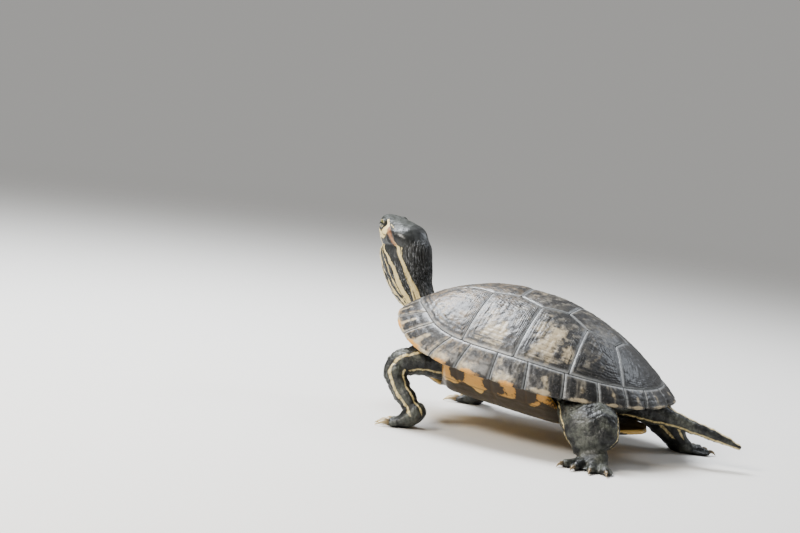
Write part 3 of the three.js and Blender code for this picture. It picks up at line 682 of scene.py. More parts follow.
# ---- flesh: where it lies
# Rows are [x, y, z, half width across, half depth] in mm, given before the model is centred.
CENTRING = Vector((SHELL_ORIGIN.x, SHELL_ORIGIN.y, 0))
CENTRED = Matrix.Translation(CENTRING)
NECK_ACROSS = (0.4, 0.92, 0)
NECK_ROWS = (
    (40, -3, 45, 14, 12), (62, -8, 49, 14.5, 12.5), (80, -12.5, 53, 13, 12), (90, -15.5, 60.5, 11.5, 11.5),
    (95.6, -17.5, 69.5, 11.2, 11), (102.6, -19, 77.5, 13, 14.8), (107, -20.2, 86, 14.8, 17.6),
    (110.8, -21.2, 95, 15.4, 19.4), (112.8, -22, 102, 14.6, 20.6), (113.8, -22.3, 106.5, 12, 17.8))
TAIL_ROWS = (
    (-62, 0, 33, 14, 10.5), (-80, -2, 29.5, 8.6, 7.8), (-93, -5, 26.5, 5.2, 5), (-108, -10, 22.5, 4.2, 4.1),
    (-121, -15.5, 18.6, 3.1, 3.0), (-131, -20.5, 14.8, 1.9, 1.8))
# A digit is [how far aside its knuckle sits, degrees it splays, share of the full length].
HAND = {"palm": 12.5, "half_width": 9, "digit": 7, "radius": 2.4, "claw": 8.8, "claw_radius": 1.25, "web": 0,
        "digits": ((-7, -32, 0.72), (-3.9, -15, 0.95), (-0.2, 0, 1), (3.6, 14, 0.95), (6.8, 30, 0.78))}
PADDLE = {"palm": 12, "half_width": 10.5, "digit": 13, "radius": 2.6, "claw": 5.2, "claw_radius": 1.15,
          "web": 17, "digits": ((-8, -30, 0.84), (-3, -11, 1), (2.4, 7, 1), (7.4, 26, 0.88))}
WEB_REACH = 0.66                           # of a digit's length
HIND_ACROSS = (1, 0, 0.1)
TRUNK_SHARE, TRUNK_GAP = 0.955, 3.2        # the trunk's width within the shell, and its depth below it
# The trunk's rings as shares of the way out, and below them, in its belly, at these heights in shell lengths.
TRUNK_ROOF = (0.1, 0.3, 0.5, 0.68, 0.8, 0.86)
TRUNK_BELLY = ((0.83, -0.04), (0.77, -0.063), (0.68, -0.085), (0.5, -0.112))
LEGS = {
    "fore_left": {"foot": HAND, "sole": (51, 61.5), "heading": 4, "across": (-26, 31, 0), "rows": (
        (32, 26, 42, 12, 11), (50, 41, 41, 11, 10.5), (63, 52, 40.5, 10, 9), (71, 58.5, 35.5, 8.8, 8),
        (67, 61, 25.5, 7.8, 6.8), (58, 61.5, 15.5, 6.8, 5.6))},
    "fore_right": {"foot": HAND, "sole": (60, -61.5), "heading": -12, "across": (28, 30, 0), "rows": (
        (32, -26, 42, 12, 11), (48, -42, 40, 11, 10.5), (62, -54, 37.5, 9.8, 9), (70, -59.5, 31, 8.6, 8),
        (70.5, -61, 22, 7.6, 6.6), (66, -61.5, 14, 6.8, 5.6))},
    "hind_left": {"foot": PADDLE, "sole": (-66.5, 60), "heading": 93, "across": HIND_ACROSS, "rows": (
        (-40, 20, 32, 18, 12), (-47, 36, 31, 17, 12), (-54.5, 50, 27.5, 17, 12), (-62, 58, 20.5, 16.5, 11),
        (-66, 60.5, 14, 14.5, 8.6))},
    "hind_right": {"foot": PADDLE, "sole": (-83, -41), "heading": -121, "across": HIND_ACROSS, "rows": (
        (-42, -20, 32, 18, 12), (-53, -33, 31, 15.5, 12), (-64.5, -38, 26, 12, 10.5),
        (-76, -40, 17.5, 9.8, 8.8), (-82.5, -41, 11.5, 8.4, 6.8))},
}

# The head's own frame: the snout's tip at the origin, +X ahead, +Y its left, +Z its crown.
HEAD = (Matrix.Translation(Vector((135.6, -31.5, 114.3)) * MM + CENTRING)
        @ Matrix.Rotation(math.radians(-28), 4, "Z") @ Matrix.Rotation(math.radians(-6), 4, "Y")
        @ Matrix.Rotation(math.radians(-8), 4, "X"))
# [behind the snout, half width, up to the crown, down to the chin]
HEAD_ROWS = (
    (0.4, 3.4, 3.8, 3.6), (2, 5.0, 6.8, 6.2), (4.5, 6.7, 8.9, 9.0), (8, 8.5, 9.4, 11.4),
    (12, 10.1, 9.9, 13.2), (17, 11.9, 10.4, 14.2), (22, 12.9, 9.8, 14.4), (27, 13.1, 8.4, 14.2),
    (32, 12.5, 6.9, 13.6), (36.5, 11.2, 4.6, 12.0), (40, 8.8, 1.4, 9.5))
HEAD_ROUNDNESS = 0.86
HEAD_TIP, HEAD_BACK = (0.5, 0, 0.8), (-42.6, 0, -4)
EYE_PLACE, EYE_RADIUS = np.array([-11.6, 7.3, 4.3]), 3.3
EYE_AXIS = np.array([0.28, 0.93, 0.22])    # the way the left eye looks
EYE_CORNER = np.array([1, 0, 0.12])        # the way to the eye's front corner
EYE_CORNERS, UPPER_LID, LOWER_LID = 50, 29, 34   # the opening's half sizes, in degrees
LID_REACH = 9                              # mm from the eye's middle
MOUTH_LINE = np.array([(-21, -0.9), (-17, -1.5), (-12, -0.4), (-6, 0.9), (3, 1.6)])
MOUTH_END = -22.5
MOUTH_WIDTH, MOUTH_DEPTH = 0.42, 0.85
LIP_FOLDS = ((0.95, 0.7, 0.28), (-0.9, 0.7, -0.22))   # [above the mouth's line, width, height]
NOSTRIL, EAR, NAPE_SIDE = (-0.6, 1.25, 3.6), (-26.5, 12.6, -0.8), (-36, 9.5, 1.5)
EVEN = (1, 1, 1)                           # no stretch
EAR_DEPTH, EAR_EDGE = 0.35, (2.6, 3.8)     # depth of the ear's disc, and the radii that its edge lies between
FOREHEAD_DIP, CROWN_RELIEF = 0.5, 0.16
# Bumps on both sides of the face: [place, stretch, distance of the crest from the place, width, height].
FACE_RELIEF = (
    (NOSTRIL, EVEN, 0, 0.55, -0.9), (NOSTRIL, EVEN, 1.0, 0.5, 0.2), (EAR, EVEN, 4.3, 0.8, 0.22),
    ((-13, 7.4, 8.2), (0.55, 1, 1), 0, 2.4, 0.75),     # brow
    ((-15, 10.8, -8), EVEN, 0, 6, 0.9))                # corner of the jaw


def placed(points, matrix):
    """Points in mm of a frame, in mm of the model."""
    matrix = np.array(matrix)
    return points @ matrix[:3, :3].T + matrix[:3, 3] / MM


def through(rows, count):
    """A smooth curve through rows of numbers, whose first three are a place, as count + 1 even samples."""
    rows = np.array(rows, float)
    gaps = np.linalg.norm(np.diff(rows[:, :3], axis=0), axis=1)
    knots = np.concatenate([[0], np.cumsum(gaps)])
    slope = np.diff(rows, axis=0) / gaps[:, None]
    inner = (slope[:-1] * gaps[1:, None] + slope[1:] * gaps[:-1, None]) / (gaps[1:] + gaps[:-1])[:, None]
    tangent = np.vstack([slope[:1], inner, slope[-1:]])
    places = np.linspace(0, knots[-1], count + 1)
    i = np.clip(np.searchsorted(knots, places, side="right") - 1, 0, len(gaps) - 1)
    span = gaps[i][:, None]
    t = ((places - knots[i]) / gaps[i])[:, None]
    return ((1 + 2 * t) * (1 - t) ** 2 * rows[i] + t * (1 - t) ** 2 * span * tangent[i]
            + t * t * (3 - 2 * t) * rows[i + 1] + t * t * (t - 1) * span * tangent[i + 1])


class Tube:
    """A tapering tube of flesh along a curve, which can say where a point lies along and round it."""

    def __init__(self, rows, across=(0, 1, 0), matrix=CENTRED):
        line = through(rows, 120)
        turn = np.array(matrix)[:3, :3]
        self.centre, self.size = line[:, :3], line[:, 3:5]
        along = unit(np.gradient(self.centre, axis=0))
        across = unit(across)
        wide = unit(across - along * (along @ across)[:, None])
        self.centre, self.along, self.wide = placed(self.centre, matrix), along @ turn.T, wide @ turn.T
        self.deep = np.cross(self.along, self.wide)
        self.run = run_along(self.centre)

    def ring(self, i, scale, shift, sides):
        turn = np.linspace(0, 2 * math.pi, sides, endpoint=False)[:, None]
        middle = self.centre[i] + self.along[i] * shift * self.size[i].min()
        return (middle + scale * np.cos(turn) * self.size[i][0] * self.wide[i]
                + scale * np.sin(turn) * self.size[i][1] * self.deep[i])

    def solid(self, sides, step):
        """Points and faces of the closed tube, with rounded ends."""
        last = len(self.run) - 1
        ends = ((0.3, 0.78), (0.72, 0.5), (0.92, 0.25))
        rings = [self.ring(0, scale, -shift, sides) for scale, shift in ends]
        rings += [self.ring(i, 1, 0, sides) for i in range(0, last + 1, step)]
        rings += [self.ring(last, scale, shift, sides) for scale, shift in reversed(ends)]
        return closed_rings(rings)

    def locate(self, points):
        """For each point: its run along the tube, its shares of the half width and depth, and their mean."""
        near = np.concatenate([np.argmin(((part[:, None] - self.centre[None]) ** 2).sum(axis=2), axis=1)
                               for part in np.array_split(points, len(points) // 8000 + 1)])
        off = points - self.centre[near]
        run = self.run[near] + (off * self.along[near]).sum(axis=1)
        wide = (off * self.wide[near]).sum(axis=1) / self.size[near, 0]
        deep = (off * self.deep[near]).sum(axis=1) / self.size[near, 1]
        return run, wide, deep, self.size[near].mean(axis=1)


def closed_rings(rings):
    """A closed mesh over rings of equally many points."""
    points = np.concatenate([*rings, [rings[0].mean(axis=0)], [rings[-1].mean(axis=0)]])
    count, total = len(rings[0]), len(rings) * len(rings[0])
    faces = grid_faces(len(rings), count, closed=True)
    faces += fan(0, count, total) + fan(total - count, count, total + 1)
    return points, faces


def head_solid(sides=56):
    turn = (np.arange(sides) + 0.5) / sides * 2 * math.pi
    aside, above = (signed_power(wave, HEAD_ROUNDNESS) for wave in (np.cos(turn), np.sin(turn)))
    line = through([(row[0], 0, 0, *row[1:]) for row in HEAD_ROWS], 48)
    rings = [columns(np.full(sides, -behind), width * aside, np.where(above > 0, top, bottom) * above)
             for behind, _, _, width, top, bottom in line]
    points, faces = closed_rings(rings)
    points[-2:] = HEAD_TIP, HEAD_BACK
    return placed(points, HEAD), faces


def trunk_solid(sides=64):
    """What fills the shell: its roof follows the carapace's inner face, its sides draw in to the plastron."""
    angles = np.linspace(0, 2 * math.pi, sides, endpoint=False)
    rings = []
    for radius in TRUNK_ROOF:
        x, y = plan_point(radius, angles)
        height = surface_height(radius, angles) * LENGTH - PLATE - TRUNK_GAP
        rings.append(columns(x * LENGTH * TRUNK_SHARE, y * LENGTH * TRUNK_SHARE, height))
    for radius, level in TRUNK_BELLY:
        x, y = plan_point(radius, angles)
        rings.append(columns(x, y, np.full(sides, level)) * LENGTH)
    points, faces = closed_rings(rings)
    return placed(points, SHELL), faces


def foot_matrix(leg):
    return (Matrix.Translation(Vector((*leg["sole"], 0)) * MM + CENTRING)
            @ Matrix.Rotation(math.radians(leg["heading"]), 4, "Z"))


def digit_tube(leg, digit, rows):
    """A tube from rows of [out along the digit, height, half width, half depth]."""
    foot, (knuckle, degrees, _), side = leg["foot"], digit, np.sign(leg["sole"][1])
    angle = math.radians(degrees * side)
    places = [(foot["palm"] - 3 + math.cos(angle) * out, knuckle * side + math.sin(angle) * out, *rest)
              for out, *rest in rows]
    return Tube(places, (-math.sin(angle), math.cos(angle), 0), foot_matrix(leg))


def foot_tubes(leg):
    """The fleshy tubes of a foot: palm, digits and web."""
    foot, matrix = leg["foot"], foot_matrix(leg)
    wide, palm, r = foot["half_width"], foot["palm"], foot["radius"]
    tubes = [Tube(((1, 0, 12, 7.2, 6), (4, 0, 7.3, wide * 0.86, 6.4), (palm * 0.7, 0, 3.6, wide, 5),
                   (palm, 0, 2.3, wide, 3.3)), matrix=matrix)]
    for digit in foot["digits"]:
        length = foot["digit"] * digit[2]
        tubes.append(digit_tube(leg, digit, (
            (-5, 3.2, r * 0.9, r * 0.9), (0.12 * length, 3.3, r * 0.88, r * 0.95),
            (0.42 * length, 2.9, r, r * 0.98), (0.68 * length, 2.5, r * 0.84, r * 0.86),
            (0.9 * length, 2.3, r * 0.86, r * 0.86), (length - 0.4, 2.1, r * 0.66, r * 0.7))))
    if foot["web"]:
        end = palm - 3 + foot["digit"] * WEB_REACH
        tubes.append(Tube(((4, 0, 2.4, wide * 0.8, 3), (palm, 0, 1.7, lerp(wide, foot["web"], 0.6), 1.7),
                           (end, 0, 1.3, foot["web"], 1.0)), matrix=matrix))
    return tubes


LIMBS = {"neck": Tube(NECK_ROWS, NECK_ACROSS), "tail": Tube(TAIL_ROWS),
         **{name: Tube(leg["rows"], leg["across"]) for name, leg in LEGS.items()}}
FEET = {name: foot_tubes(leg) for name, leg in LEGS.items()}


# ---- flesh: one skin
VOXEL = 0.76                               # the size of the skin's faces
HIDDEN_SHARE = 0.03                        # of the faces that stay where the shell covers the trunk
NAPE, NAPE_REACH, NAPE_ROUNDS = np.array([-42, 0, -1]), 20, 50   # where the head runs smoothly into the neck
NECK_WRINKLE, NECK_WRINKLE_WIDTH = 0.4, 1.15
LOOSE_FROM, NECK_ROOT = (34, 54), (30, 45)   # mm over which the neck's skin grows loose, and leaves the trunk
CROWN_FLAT, CROWN_DIP = 2.0, -17           # how far the crown dips before the nape, and where
DIGIT_GAP = 0.9                            # depth of the furrows between a hand's digits
# The limbs' crosswise folds: [distance between them, depth, size of the scales on them].
TAIL_FOLDS, LEG_FOLDS = (2.6, 0.22, 2.2), (3.4, 0.42, 2.5)
FORE_SCALE, FOOT_SCALE, TRUNK_SCALE = 3.4, 1.75, 2.1
FRONT_FOLDS, NECK_ROLLS = 0.9, 0.7         # depths of the folds before the trunk, and across the neck's root
SKIN_PORES, SKIN_LUMPS = (0.02, 0.08), (0.06, 0.12)   # fine and coarse unevenness: everywhere, more on limbs
SOCKET_DEPTH, LID_GAP, LID_RISE = 1.0, 0.5, 0.3      # within the eyeball's face, and beyond it
FLESH_NODES = ["trunk", "head", "lower_jaw", "neck", "tail",
               *(f"{name}_{part}" for name in LEGS for part in ("leg", "foot"))]


def fused(parts):
    """One mesh of even faces round overlapping closed solids."""
    points, faces, first = [], [], 0
    for some, shapes in parts:
        points.append(some)
        faces += [tuple(corner + first for corner in face) for face in shapes]
        first += len(some)
    rough = linked("rough", closed_mesh("rough", np.concatenate(points) * MM, faces))
    remesh = rough.modifiers.new("fuse", "REMESH")
    remesh.mode, remesh.voxel_size = "VOXEL", VOXEL * MM
    even = bpy.data.meshes.new_from_object(rough.evaluated_get(bpy.context.evaluated_depsgraph_get()))
    bpy.data.objects.remove(rough)
    return even


def vertex_values(mesh, key):
    values = np.empty(len(mesh.vertices) * 3)
    mesh.vertices.foreach_get(key, values)
    return values.reshape(-1, 3)


def points_of(mesh):
    return vertex_values(mesh, "co") / MM


def set_points(mesh, points):
    mesh.vertices.foreach_set("co", (points * MM).ravel())
    mesh.update()


def smoothed(points, edges, rounds, pulls=(0.5, -0.52), share=1.0):
    """Evens out the stairs of a voxel mesh. The default pair of pulls doesn't shrink it."""
    a, b = edges.T
    count = np.bincount(edges.ravel(), minlength=len(points))[:, None]
    for _ in range(rounds):
        for pull in pulls:
            total = np.zeros_like(points)
            np.add.at(total, a, points[b])
            np.add.at(total, b, points[a])
            points = points + share * pull * (total / count - points)
    return points


def inside_frame(points, matrix):
    """Points in mm of the model, in mm of a frame."""
    matrix = np.array(matrix)
    return (points - matrix[:3, 3] / MM) @ matrix[:3, :3]


def covered(points):
    """Where the shell hides the trunk: under its roof, over its plastron and behind its bridges."""
    x, y, z = inside_frame(points, SHELL).T
    radius, _ = plan_polar(x / LENGTH, y / LENGTH)
    roofed = (radius < 0.9) & (z > 6) & ((x < 52) | (z > 14))
    floored = (z < -17) & (np.abs(x) < 58) & (np.abs(y) < 34)
    bridged = (radius < 0.9) & (z > -24) & (np.abs(x - 2) < 30)
    return roofed | floored | bridged


def thin_out(piece, chosen):
    """Leaves few faces among the chosen vertices."""
    mesh = piece.data
    inner = [all(chosen[v] for v in face.vertices) for face in mesh.polygons]
    bpy.context.view_layer.objects.active = piece
    bpy.context.tool_settings.mesh_select_mode = (False, False, True)
    bpy.ops.object.mode_set(mode="EDIT")
    bpy.ops.mesh.select_all(action="DESELECT")
    bpy.ops.object.mode_set(mode="OBJECT")
    mesh.polygons.foreach_set("select", inner)
    bpy.ops.object.mode_set(mode="EDIT")
    bpy.ops.mesh.decimate(ratio=HIDDEN_SHARE)
    bpy.ops.object.mode_set(mode="OBJECT")


def refine(mesh, chosen):
    """Halves the faces among the chosen vertices."""
    work = bmesh.new()
    work.from_mesh(mesh)
    work.verts.ensure_lookup_table()
    edges = [edge for edge in work.edges if chosen[edge.verts[0].index] and chosen[edge.verts[1].index]]
    bmesh.ops.subdivide_edges(work, edges=edges, cuts=1, use_grid_fill=True)
    bmesh.ops.triangulate(work, faces=[face for face in work.faces if len(face.verts) > 4])
    work.to_mesh(mesh)
    work.free()


def from_place(head, place, stretch=EVEN):
    """How far points of the head's frame lie from a place that it has on both sides."""
    folded = columns(head[:, 0], np.abs(head[:, 1]), head[:, 2])
    return np.linalg.norm((folded - place) * stretch, axis=1)


def fine_head(points):
    """Where the eyes, mouth and nostrils need small faces."""
    head = inside_frame(points, HEAD)
    x, _, z = head.T
    mouth = (x > MOUTH_END) & (np.abs(z - np.interp(x, *MOUTH_LINE.T)) < 1.6)
    return (from_place(head, EYE_PLACE) < 6.8) | mouth | (x > -3.2)


def open_eye(place, side):
    """Sinks a socket for the eyeball and raises lids round it. Places are in the head's frame.

    Gives them back with how far each is in the opening, and on the lids' pale edge."""
    centre, axis = EYE_PLACE * (1, side, 1), unit(EYE_AXIS * (1, side, 1))
    ahead = unit(EYE_CORNER - axis * (axis @ EYE_CORNER))
    above = np.cross(ahead, axis)
    above = above if above[2] > 0 else -above
    off = place - centre
    reach = np.linalg.norm(off, axis=1)
    way = off / np.maximum(reach, 1e-6)[:, None]
    turn = np.degrees(np.arccos(np.clip(way @ axis, -1, 1)))
    round_ = np.arctan2(way @ above, way @ ahead)
    rise = np.sin(round_)
    high = np.where(rise > 0, UPPER_LID, LOWER_LID)
    past = turn - 1 / np.sqrt((np.cos(round_) / EYE_CORNERS) ** 2 + (rise / high) ** 2)
    close = reach < LID_REACH
    lid = EYE_RADIUS + LID_GAP + LID_RISE * smooth_step(past, 0, 10)
    lid += 0.25 * bell(past - 9, 8) * smooth_step(rise, 0, 1)
    socket = lerp(EYE_RADIUS - SOCKET_DEPTH, EYE_RADIUS + 0.45, smooth_step(past, -7, 0))
    front = close & (turn < 95)
    target = np.where(past < 0, socket, lerp(lid, reach, 0.25))
    new = lerp(reach, target, (1 - smooth_step(past, 14, 40)) * front) - 0.2 * bell(past - 24, 5) * front
    cover = np.maximum(new, EYE_RADIUS + 0.4 - 0.1 * smooth_step(past, 20, 50))
    new = np.where((past >= 0) & close & (turn < 100), cover, new)
    edge = bell(past - 6, 6) * smooth_step(np.abs(rise), 0.1, 0.5)
    return centre + way * new[:, None], (1 - smooth_step(past, -4, 3)) * close, edge * close


def tree_of(points):
    tree = KDTree(len(points))
    for i, point in enumerate(points):
        tree.insert(point, i)
    tree.balance()
    return tree


def scale_borders(points, spacing, seed=5):
    """Scales of the given spacing: how far points are from their scale's border, as shares of the spacing."""
    wanted = np.flatnonzero(spacing > 0)
    tree = tree_of(points[wanted])
    free, middles = np.ones(len(wanted), bool), []
    for i in np.random.default_rng(seed).permutation(len(wanted)):
        if free[i]:
            middles.append(wanted[i])
            free[[found[1] for found in tree.find_range(points[wanted[i]], spacing[wanted[i]])]] = False
    tree = tree_of(points[middles])
    border = np.full(len(points), 1.0)
    for i in wanted:
        (_, _, first), (_, _, second) = tree.find_n(points[i], 2)
        border[i] = (second - first) / spacing[i]
    return border


PARTS = ["head", *LIMBS, "trunk"]
TRUNK_BEYOND, TRUNK_FRONT = 1.3, 76        # so far off every limb, and no further ahead, skin is the trunk's
FOOT_REACH, FOOT_HEIGHT = 30, 22


def nearest_part(points):
    """The number in PARTS of each point's part; its place in the head's frame; and its place on each limb."""
    head = inside_frame(points, HEAD)
    width, up, down = (np.interp(-head[:, 0], *np.array(HEAD_ROWS)[:, [0, i]].T) for i in (1, 2, 3))
    power = 2 / HEAD_ROUNDNESS
    high = np.where(head[:, 2] > 0, up, down)
    radius = (np.abs(head[:, 1] / width) ** power + np.abs(head[:, 2] / high) ** power) ** (1 / power)
    beyond = [(radius - 1) * width + 1.5 * np.maximum(-head[:, 0] - 39, 0) ** 2]
    where = {name: limb.locate(points) for name, limb in LIMBS.items()}
    for name, (run, wide, deep, size) in where.items():
        past = np.maximum(run - LIMBS[name].run[-1], 0) + np.maximum(-run, 0)
        beyond.append((np.hypot(wide, deep) - 1) * size + past ** 2)
    beyond.append(np.where(points[:, 0] < TRUNK_FRONT, TRUNK_BEYOND, 99))
    part = np.argmin(beyond, axis=0)
    for name, leg in LEGS.items():
        sole = np.array(leg["sole"]) + np.array(CENTRING)[:2] / MM
        foot = (np.linalg.norm(points[:, :2] - sole, axis=1) < FOOT_REACH) & (points[:, 2] < FOOT_HEIGHT)
        part[foot] = PARTS.index(name)
    return part, head, where


def between_digits(points, leg):
    """1 in the furrows between a foot's digits, on its upper side."""
    place, foot, side = inside_frame(points, foot_matrix(leg)), leg["foot"], np.sign(leg["sole"][1])
    out = place[:, 0] - (foot["palm"] - 3)
    furrow = np.zeros(len(points))
    for (a, turn_a, _), (b, turn_b, _) in zip(foot["digits"], foot["digits"][1:]):
        middle = (a + b) / 2 * side + np.tan(np.radians((turn_a + turn_b) / 2 * side)) * out
        furrow = np.maximum(furrow, bell(place[:, 1] - middle, 0.75))
    return furrow * smooth_step(out, -3, 2) * smooth_step(place[:, 2], 0.6, 2)


def around(where):
    """Points laid round a tube's middle: [aside, above] in mm; and each one's run along the tube."""
    run, wide, deep, size = where
    return columns(wide, deep) * size[:, None], run


def scaly_limbs(points, part, where, folds):
    """Crosswise folds and scales of the limbs and tail: their height, and the grooves between scales, where
    shade is painted.

    It also turns the folds' coordinates to run along each limb."""
    height, spacing = np.zeros((2, len(points)))
    for name in ("tail", *LEGS):
        here = part == PARTS.index(name)
        ring, run = around(where[name])
        pitch, depth, scale = TAIL_FOLDS if name == "tail" else LEG_FOLDS
        height += depth * waves(np.column_stack([ring * 0.22, run]), pitch, 35, 20) * here
        folds[here] = np.column_stack([ring * 0.25, run])[here]
        spacing[here] = scale
        if name.startswith("fore"):
            spacing[here & (where[name][2] > 0.35) & (run > 42)] = FORE_SCALE
        if name in LEGS and LEGS[name]["foot"]["web"] == 0:
            height -= DIGIT_GAP * here * between_digits(points, LEGS[name])
    spacing[(spacing > 0) & (points[:, 2] < 13)] = FOOT_SCALE
    spacing[(part == PARTS.index("trunk")) & ~covered(points)] = TRUNK_SCALE
    border = scale_borders(points, spacing)
    height += np.where(spacing > 0, 0.13 * spacing * (smooth_step(border, 0, 0.4) - 0.6), 0)
    return height, np.where(spacing > 0, 1 - smooth_step(border, 0.02, 0.3), 0)


def facial_features(head):
    """Relief of the mouth, jaw edge, nostrils, ear, brow and crown; and where the mouth's slit is."""
    x, y, z = head.T
    over = z - np.interp(x, *MOUTH_LINE.T)
    reach = smooth_step(x, MOUTH_END, MOUTH_END + 3)
    shaded_slit = bell(over, MOUTH_WIDTH) * reach
    height = -MOUTH_DEPTH * shaded_slit
    for above, width, high in LIP_FOLDS:
        height += high * bell(over - above, width) * reach
    for place, stretch, crest, width, high in FACE_RELIEF:
        height += high * bell(from_place(head, place, stretch) - crest, width)
    height -= EAR_DEPTH * (1 - smooth_step(from_place(head, EAR), *EAR_EDGE))
    height -= FOREHEAD_DIP * bell(y, 2.8) * bell(x + 12, 8) * (z > 4)
    height += CROWN_RELIEF * (z > 3) * smooth_step(-x, 6, 12) * waves(columns(x, y), 2.6, 36)
    return height, shaded_slit


def sculpt(points, normals):
    """Moves the skin's points to make its folds, scales and features. Gives them back with their fields."""
    part, head, where = nearest_part(points)
    face, neck, trunk = (part == PARTS.index(name) for name in ("head", "neck", "trunk"))
    x, y, z = head.T
    limb = 1.0 - face - neck               # the trunk and tail count as limbs here
    pores, lumps = (base + more * limb for base, more in (SKIN_PORES, SKIN_LUMPS))
    height = pores * waves(points, 1.3, 31, 24) + lumps * waves(points, 4.5, 32)

    # Lengthwise wrinkles on the neck, which run up on to the back of the head.
    ring, run = around(where["neck"])
    _, wide, deep, size = where["neck"]
    folds = np.column_stack([ring, run * 0.09])
    wrinkle = 1 - np.abs(waves(folds, NECK_WRINKLE_WIDTH, 33, 28)) * 1.6
    loose = (face | neck) * smooth_step(-x - z * 1.1, *LOOSE_FROM)
    off_neck = (np.hypot(wide, deep) - 1) * size
    free = 1 - (1 - smooth_step(run, *NECK_ROOT)) * smooth_step(off_neck, 0, TRUNK_BEYOND)
    height += NECK_WRINKLE * (wrinkle - 0.4) * loose * free
    crossing = waves(np.column_stack([ring * 0.35, run]), 4.2, 34)
    height += NECK_ROLLS * crossing * neck * free * (1 - smooth_step(run, 38, 58))
    front_flesh = trunk * smooth_step(points[:, 0], 25, 50) * smooth_step(off_neck, TRUNK_BEYOND, 5)
    hanging = np.column_stack([off_neck, points[:, 1:] * 0.18])
    height += FRONT_FOLDS * front_flesh * waves(hanging, 2.8, 37, 20)

    scales, shaded_groove = scaly_limbs(points, part, where, folds)
    features, shaded_slit = facial_features(head)
    height += scales + face * features
    ahead = x - CROWN_DIP
    back_of_crown = bell(np.maximum(-ahead, 0), 11) * bell(np.maximum(ahead, 0), 6)
    height -= CROWN_FLAT * (face | neck) * back_of_crown * smooth_step(z, 1, 7)

    points = points + normals * height[:, None]
    head = inside_frame(points, HEAD)
    socket_shade, lid = np.zeros((2, len(points)))
    for side in (1, -1):
        chosen = face & (head[:, 1] * side > 0)
        head[chosen], socket_shade[chosen], lid[chosen] = open_eye(head[chosen], side)
    points = np.where(face[:, None], placed(head, HEAD), points)
    points[:, 2] = np.maximum(points[:, 2], 0)
    gloss = bell(from_place(columns(x, y, z), NAPE_SIDE), 8.5)
    # Painted shade: the crown's colour is darker. The same field makes the crown rougher and the nape's side
    # glossier.
    shaded_dry_crown = face * smooth_step(z, 2, 7) * (1 - smooth_step(-x, 28, 36)) - 0.55 * gloss * (face | neck)
    fold_x, fold_y, fold_z = folds.T * MM
    return points, {
        "fold_x": fold_x, "fold_y": fold_y, "fold_z": fold_z, "loose": loose, "shaded_groove": shaded_groove,
        "shaded_slit": shaded_slit * face, "socket_shade": socket_shade, "limb": limb, "warm": 0.65 * front_flesh, "lid": lid,
        "rimmed": face | neck, "shaded_dry_crown": shaded_dry_crown, "grainy": 1 - 0.75 * face - 0.5 * neck}


# ---- skin's markings
# Stripes of both sides. On the neck: [run along it in mm, degrees round it from its side, half width in mm],
# with positive degrees towards the nape. On the head, seen from the side: [behind the snout, up, half width].
NECK_STRIPES = (
    ((106, 20, 0.9), (98, 25, 1.1), (93, 31, 1.0), (88, 34, 1.1), (80, 39, 1.4), (68, 43, 1.6),
     (40, 42, 1.7)),
    ((84, 31, 0.25), (74, 33, 0.4), (64, 27, 0.5), (40, 26, 0.5)),
    ((108, -28, 0.35), (103, -17, 0.6), (98, -4, 0.9), (90, 6, 1.4), (80, 8, 1.75), (73, 5, 1.7),
     (40, 4, 1.5)),
    ((107, -29, 0.3), (100, -20, 0.35), (92, -11, 0.4), (80, -8, 0.45), (70, -8, 0.45), (40, -10, 0.5)),
    ((104, -37, 0.8), (96, -34, 0.8), (89, -26, 0.8), (78, -25, 0.8), (68, -20, 0.9), (40, -24, 1.1)),
    ((110, -47, 2.4), (101, -47, 1.7), (90, -44, 1.2), (75, -42, 1.3), (40, -44, 1.4)),
    ((112, -64, 1.0), (95, -61, 0.7), (75, -60, 0.7), (40, -64, 0.9)),
    ((112, -82, 2.0), (95, -80, 1.6), (70, -80, 1.7), (40, -82, 1.9)))
HEAD_STRIPES = (
    ((17.5, 7.9, -0.2), (20.5, 7.3, 0.15), (24, 6.4, 0.2), (28, 5.2, -0.2)),
    ((22, 3.0, 0.8), (27, -1.0, 0.9), (31, -3.8, 1.0), (35.5, -8.5, 1.0), (40, -13, 0.9)),
    ((3.5, 4.6, 0.35), (6, 5.4, 0.4), (8.4, 5.2, 0.3)),
    ((0.5, -1.2, 0.9), (6, -1.6, 0.9), (12, -2.7, 1.6), (17, -1.4, 2.4), (20.4, 1.6, 2.1), (19.3, 4.8, 1.5),
     (16.4, 6.7, 1.2), (14, 8.3, 0.5)),
    ((9, -1.6, 0.5), (13, -1.2, 1.2), (16.5, 0.8, 1.7), (18.3, 3.6, 1.6)),
    ((2, -4.0, 1.2), (7, -5.4, 1.4), (12, -6.2, 1.9), (14.6, -8.6, 1.9), (15, -12, 1.8)),
    ((3.5, -8.8, 0.4), (5.5, -9.8, 0.6)))
THROAT_TOP, THROAT_FRONT = -8.6, -5.5      # below and behind these, the neck's stripes run on under the head
RED_PATCH = ((21.5, 4.6, 0.9), (24, 2.2, 1.9), (28.5, -2.2, 1.6), (33, -6, 0.8))
# [degrees round the limb, half width]
FORE_STRIPES = ((42, 1.0), (-30, 0.7), (150, 0.7))
LIMB_STRIPES = {"fore_left": FORE_STRIPES, "fore_right": FORE_STRIPES,
                "hind_left": ((-12, 0.65), (150, 1.0), (-168, 0.5)),
                "hind_right": ((-35, 0.9), (-82, 0.9), (150, 1.0)),
                "tail": ((38, 0.9), (142, 0.9), (-90, 1.2))}
FAR_OFF, NOWHERE = -9.0, -1e3              # mm inside a stripe where there is none
STRIPE_FADE = (4, 12)                      # heights over which a leg's stripes fade towards the sole


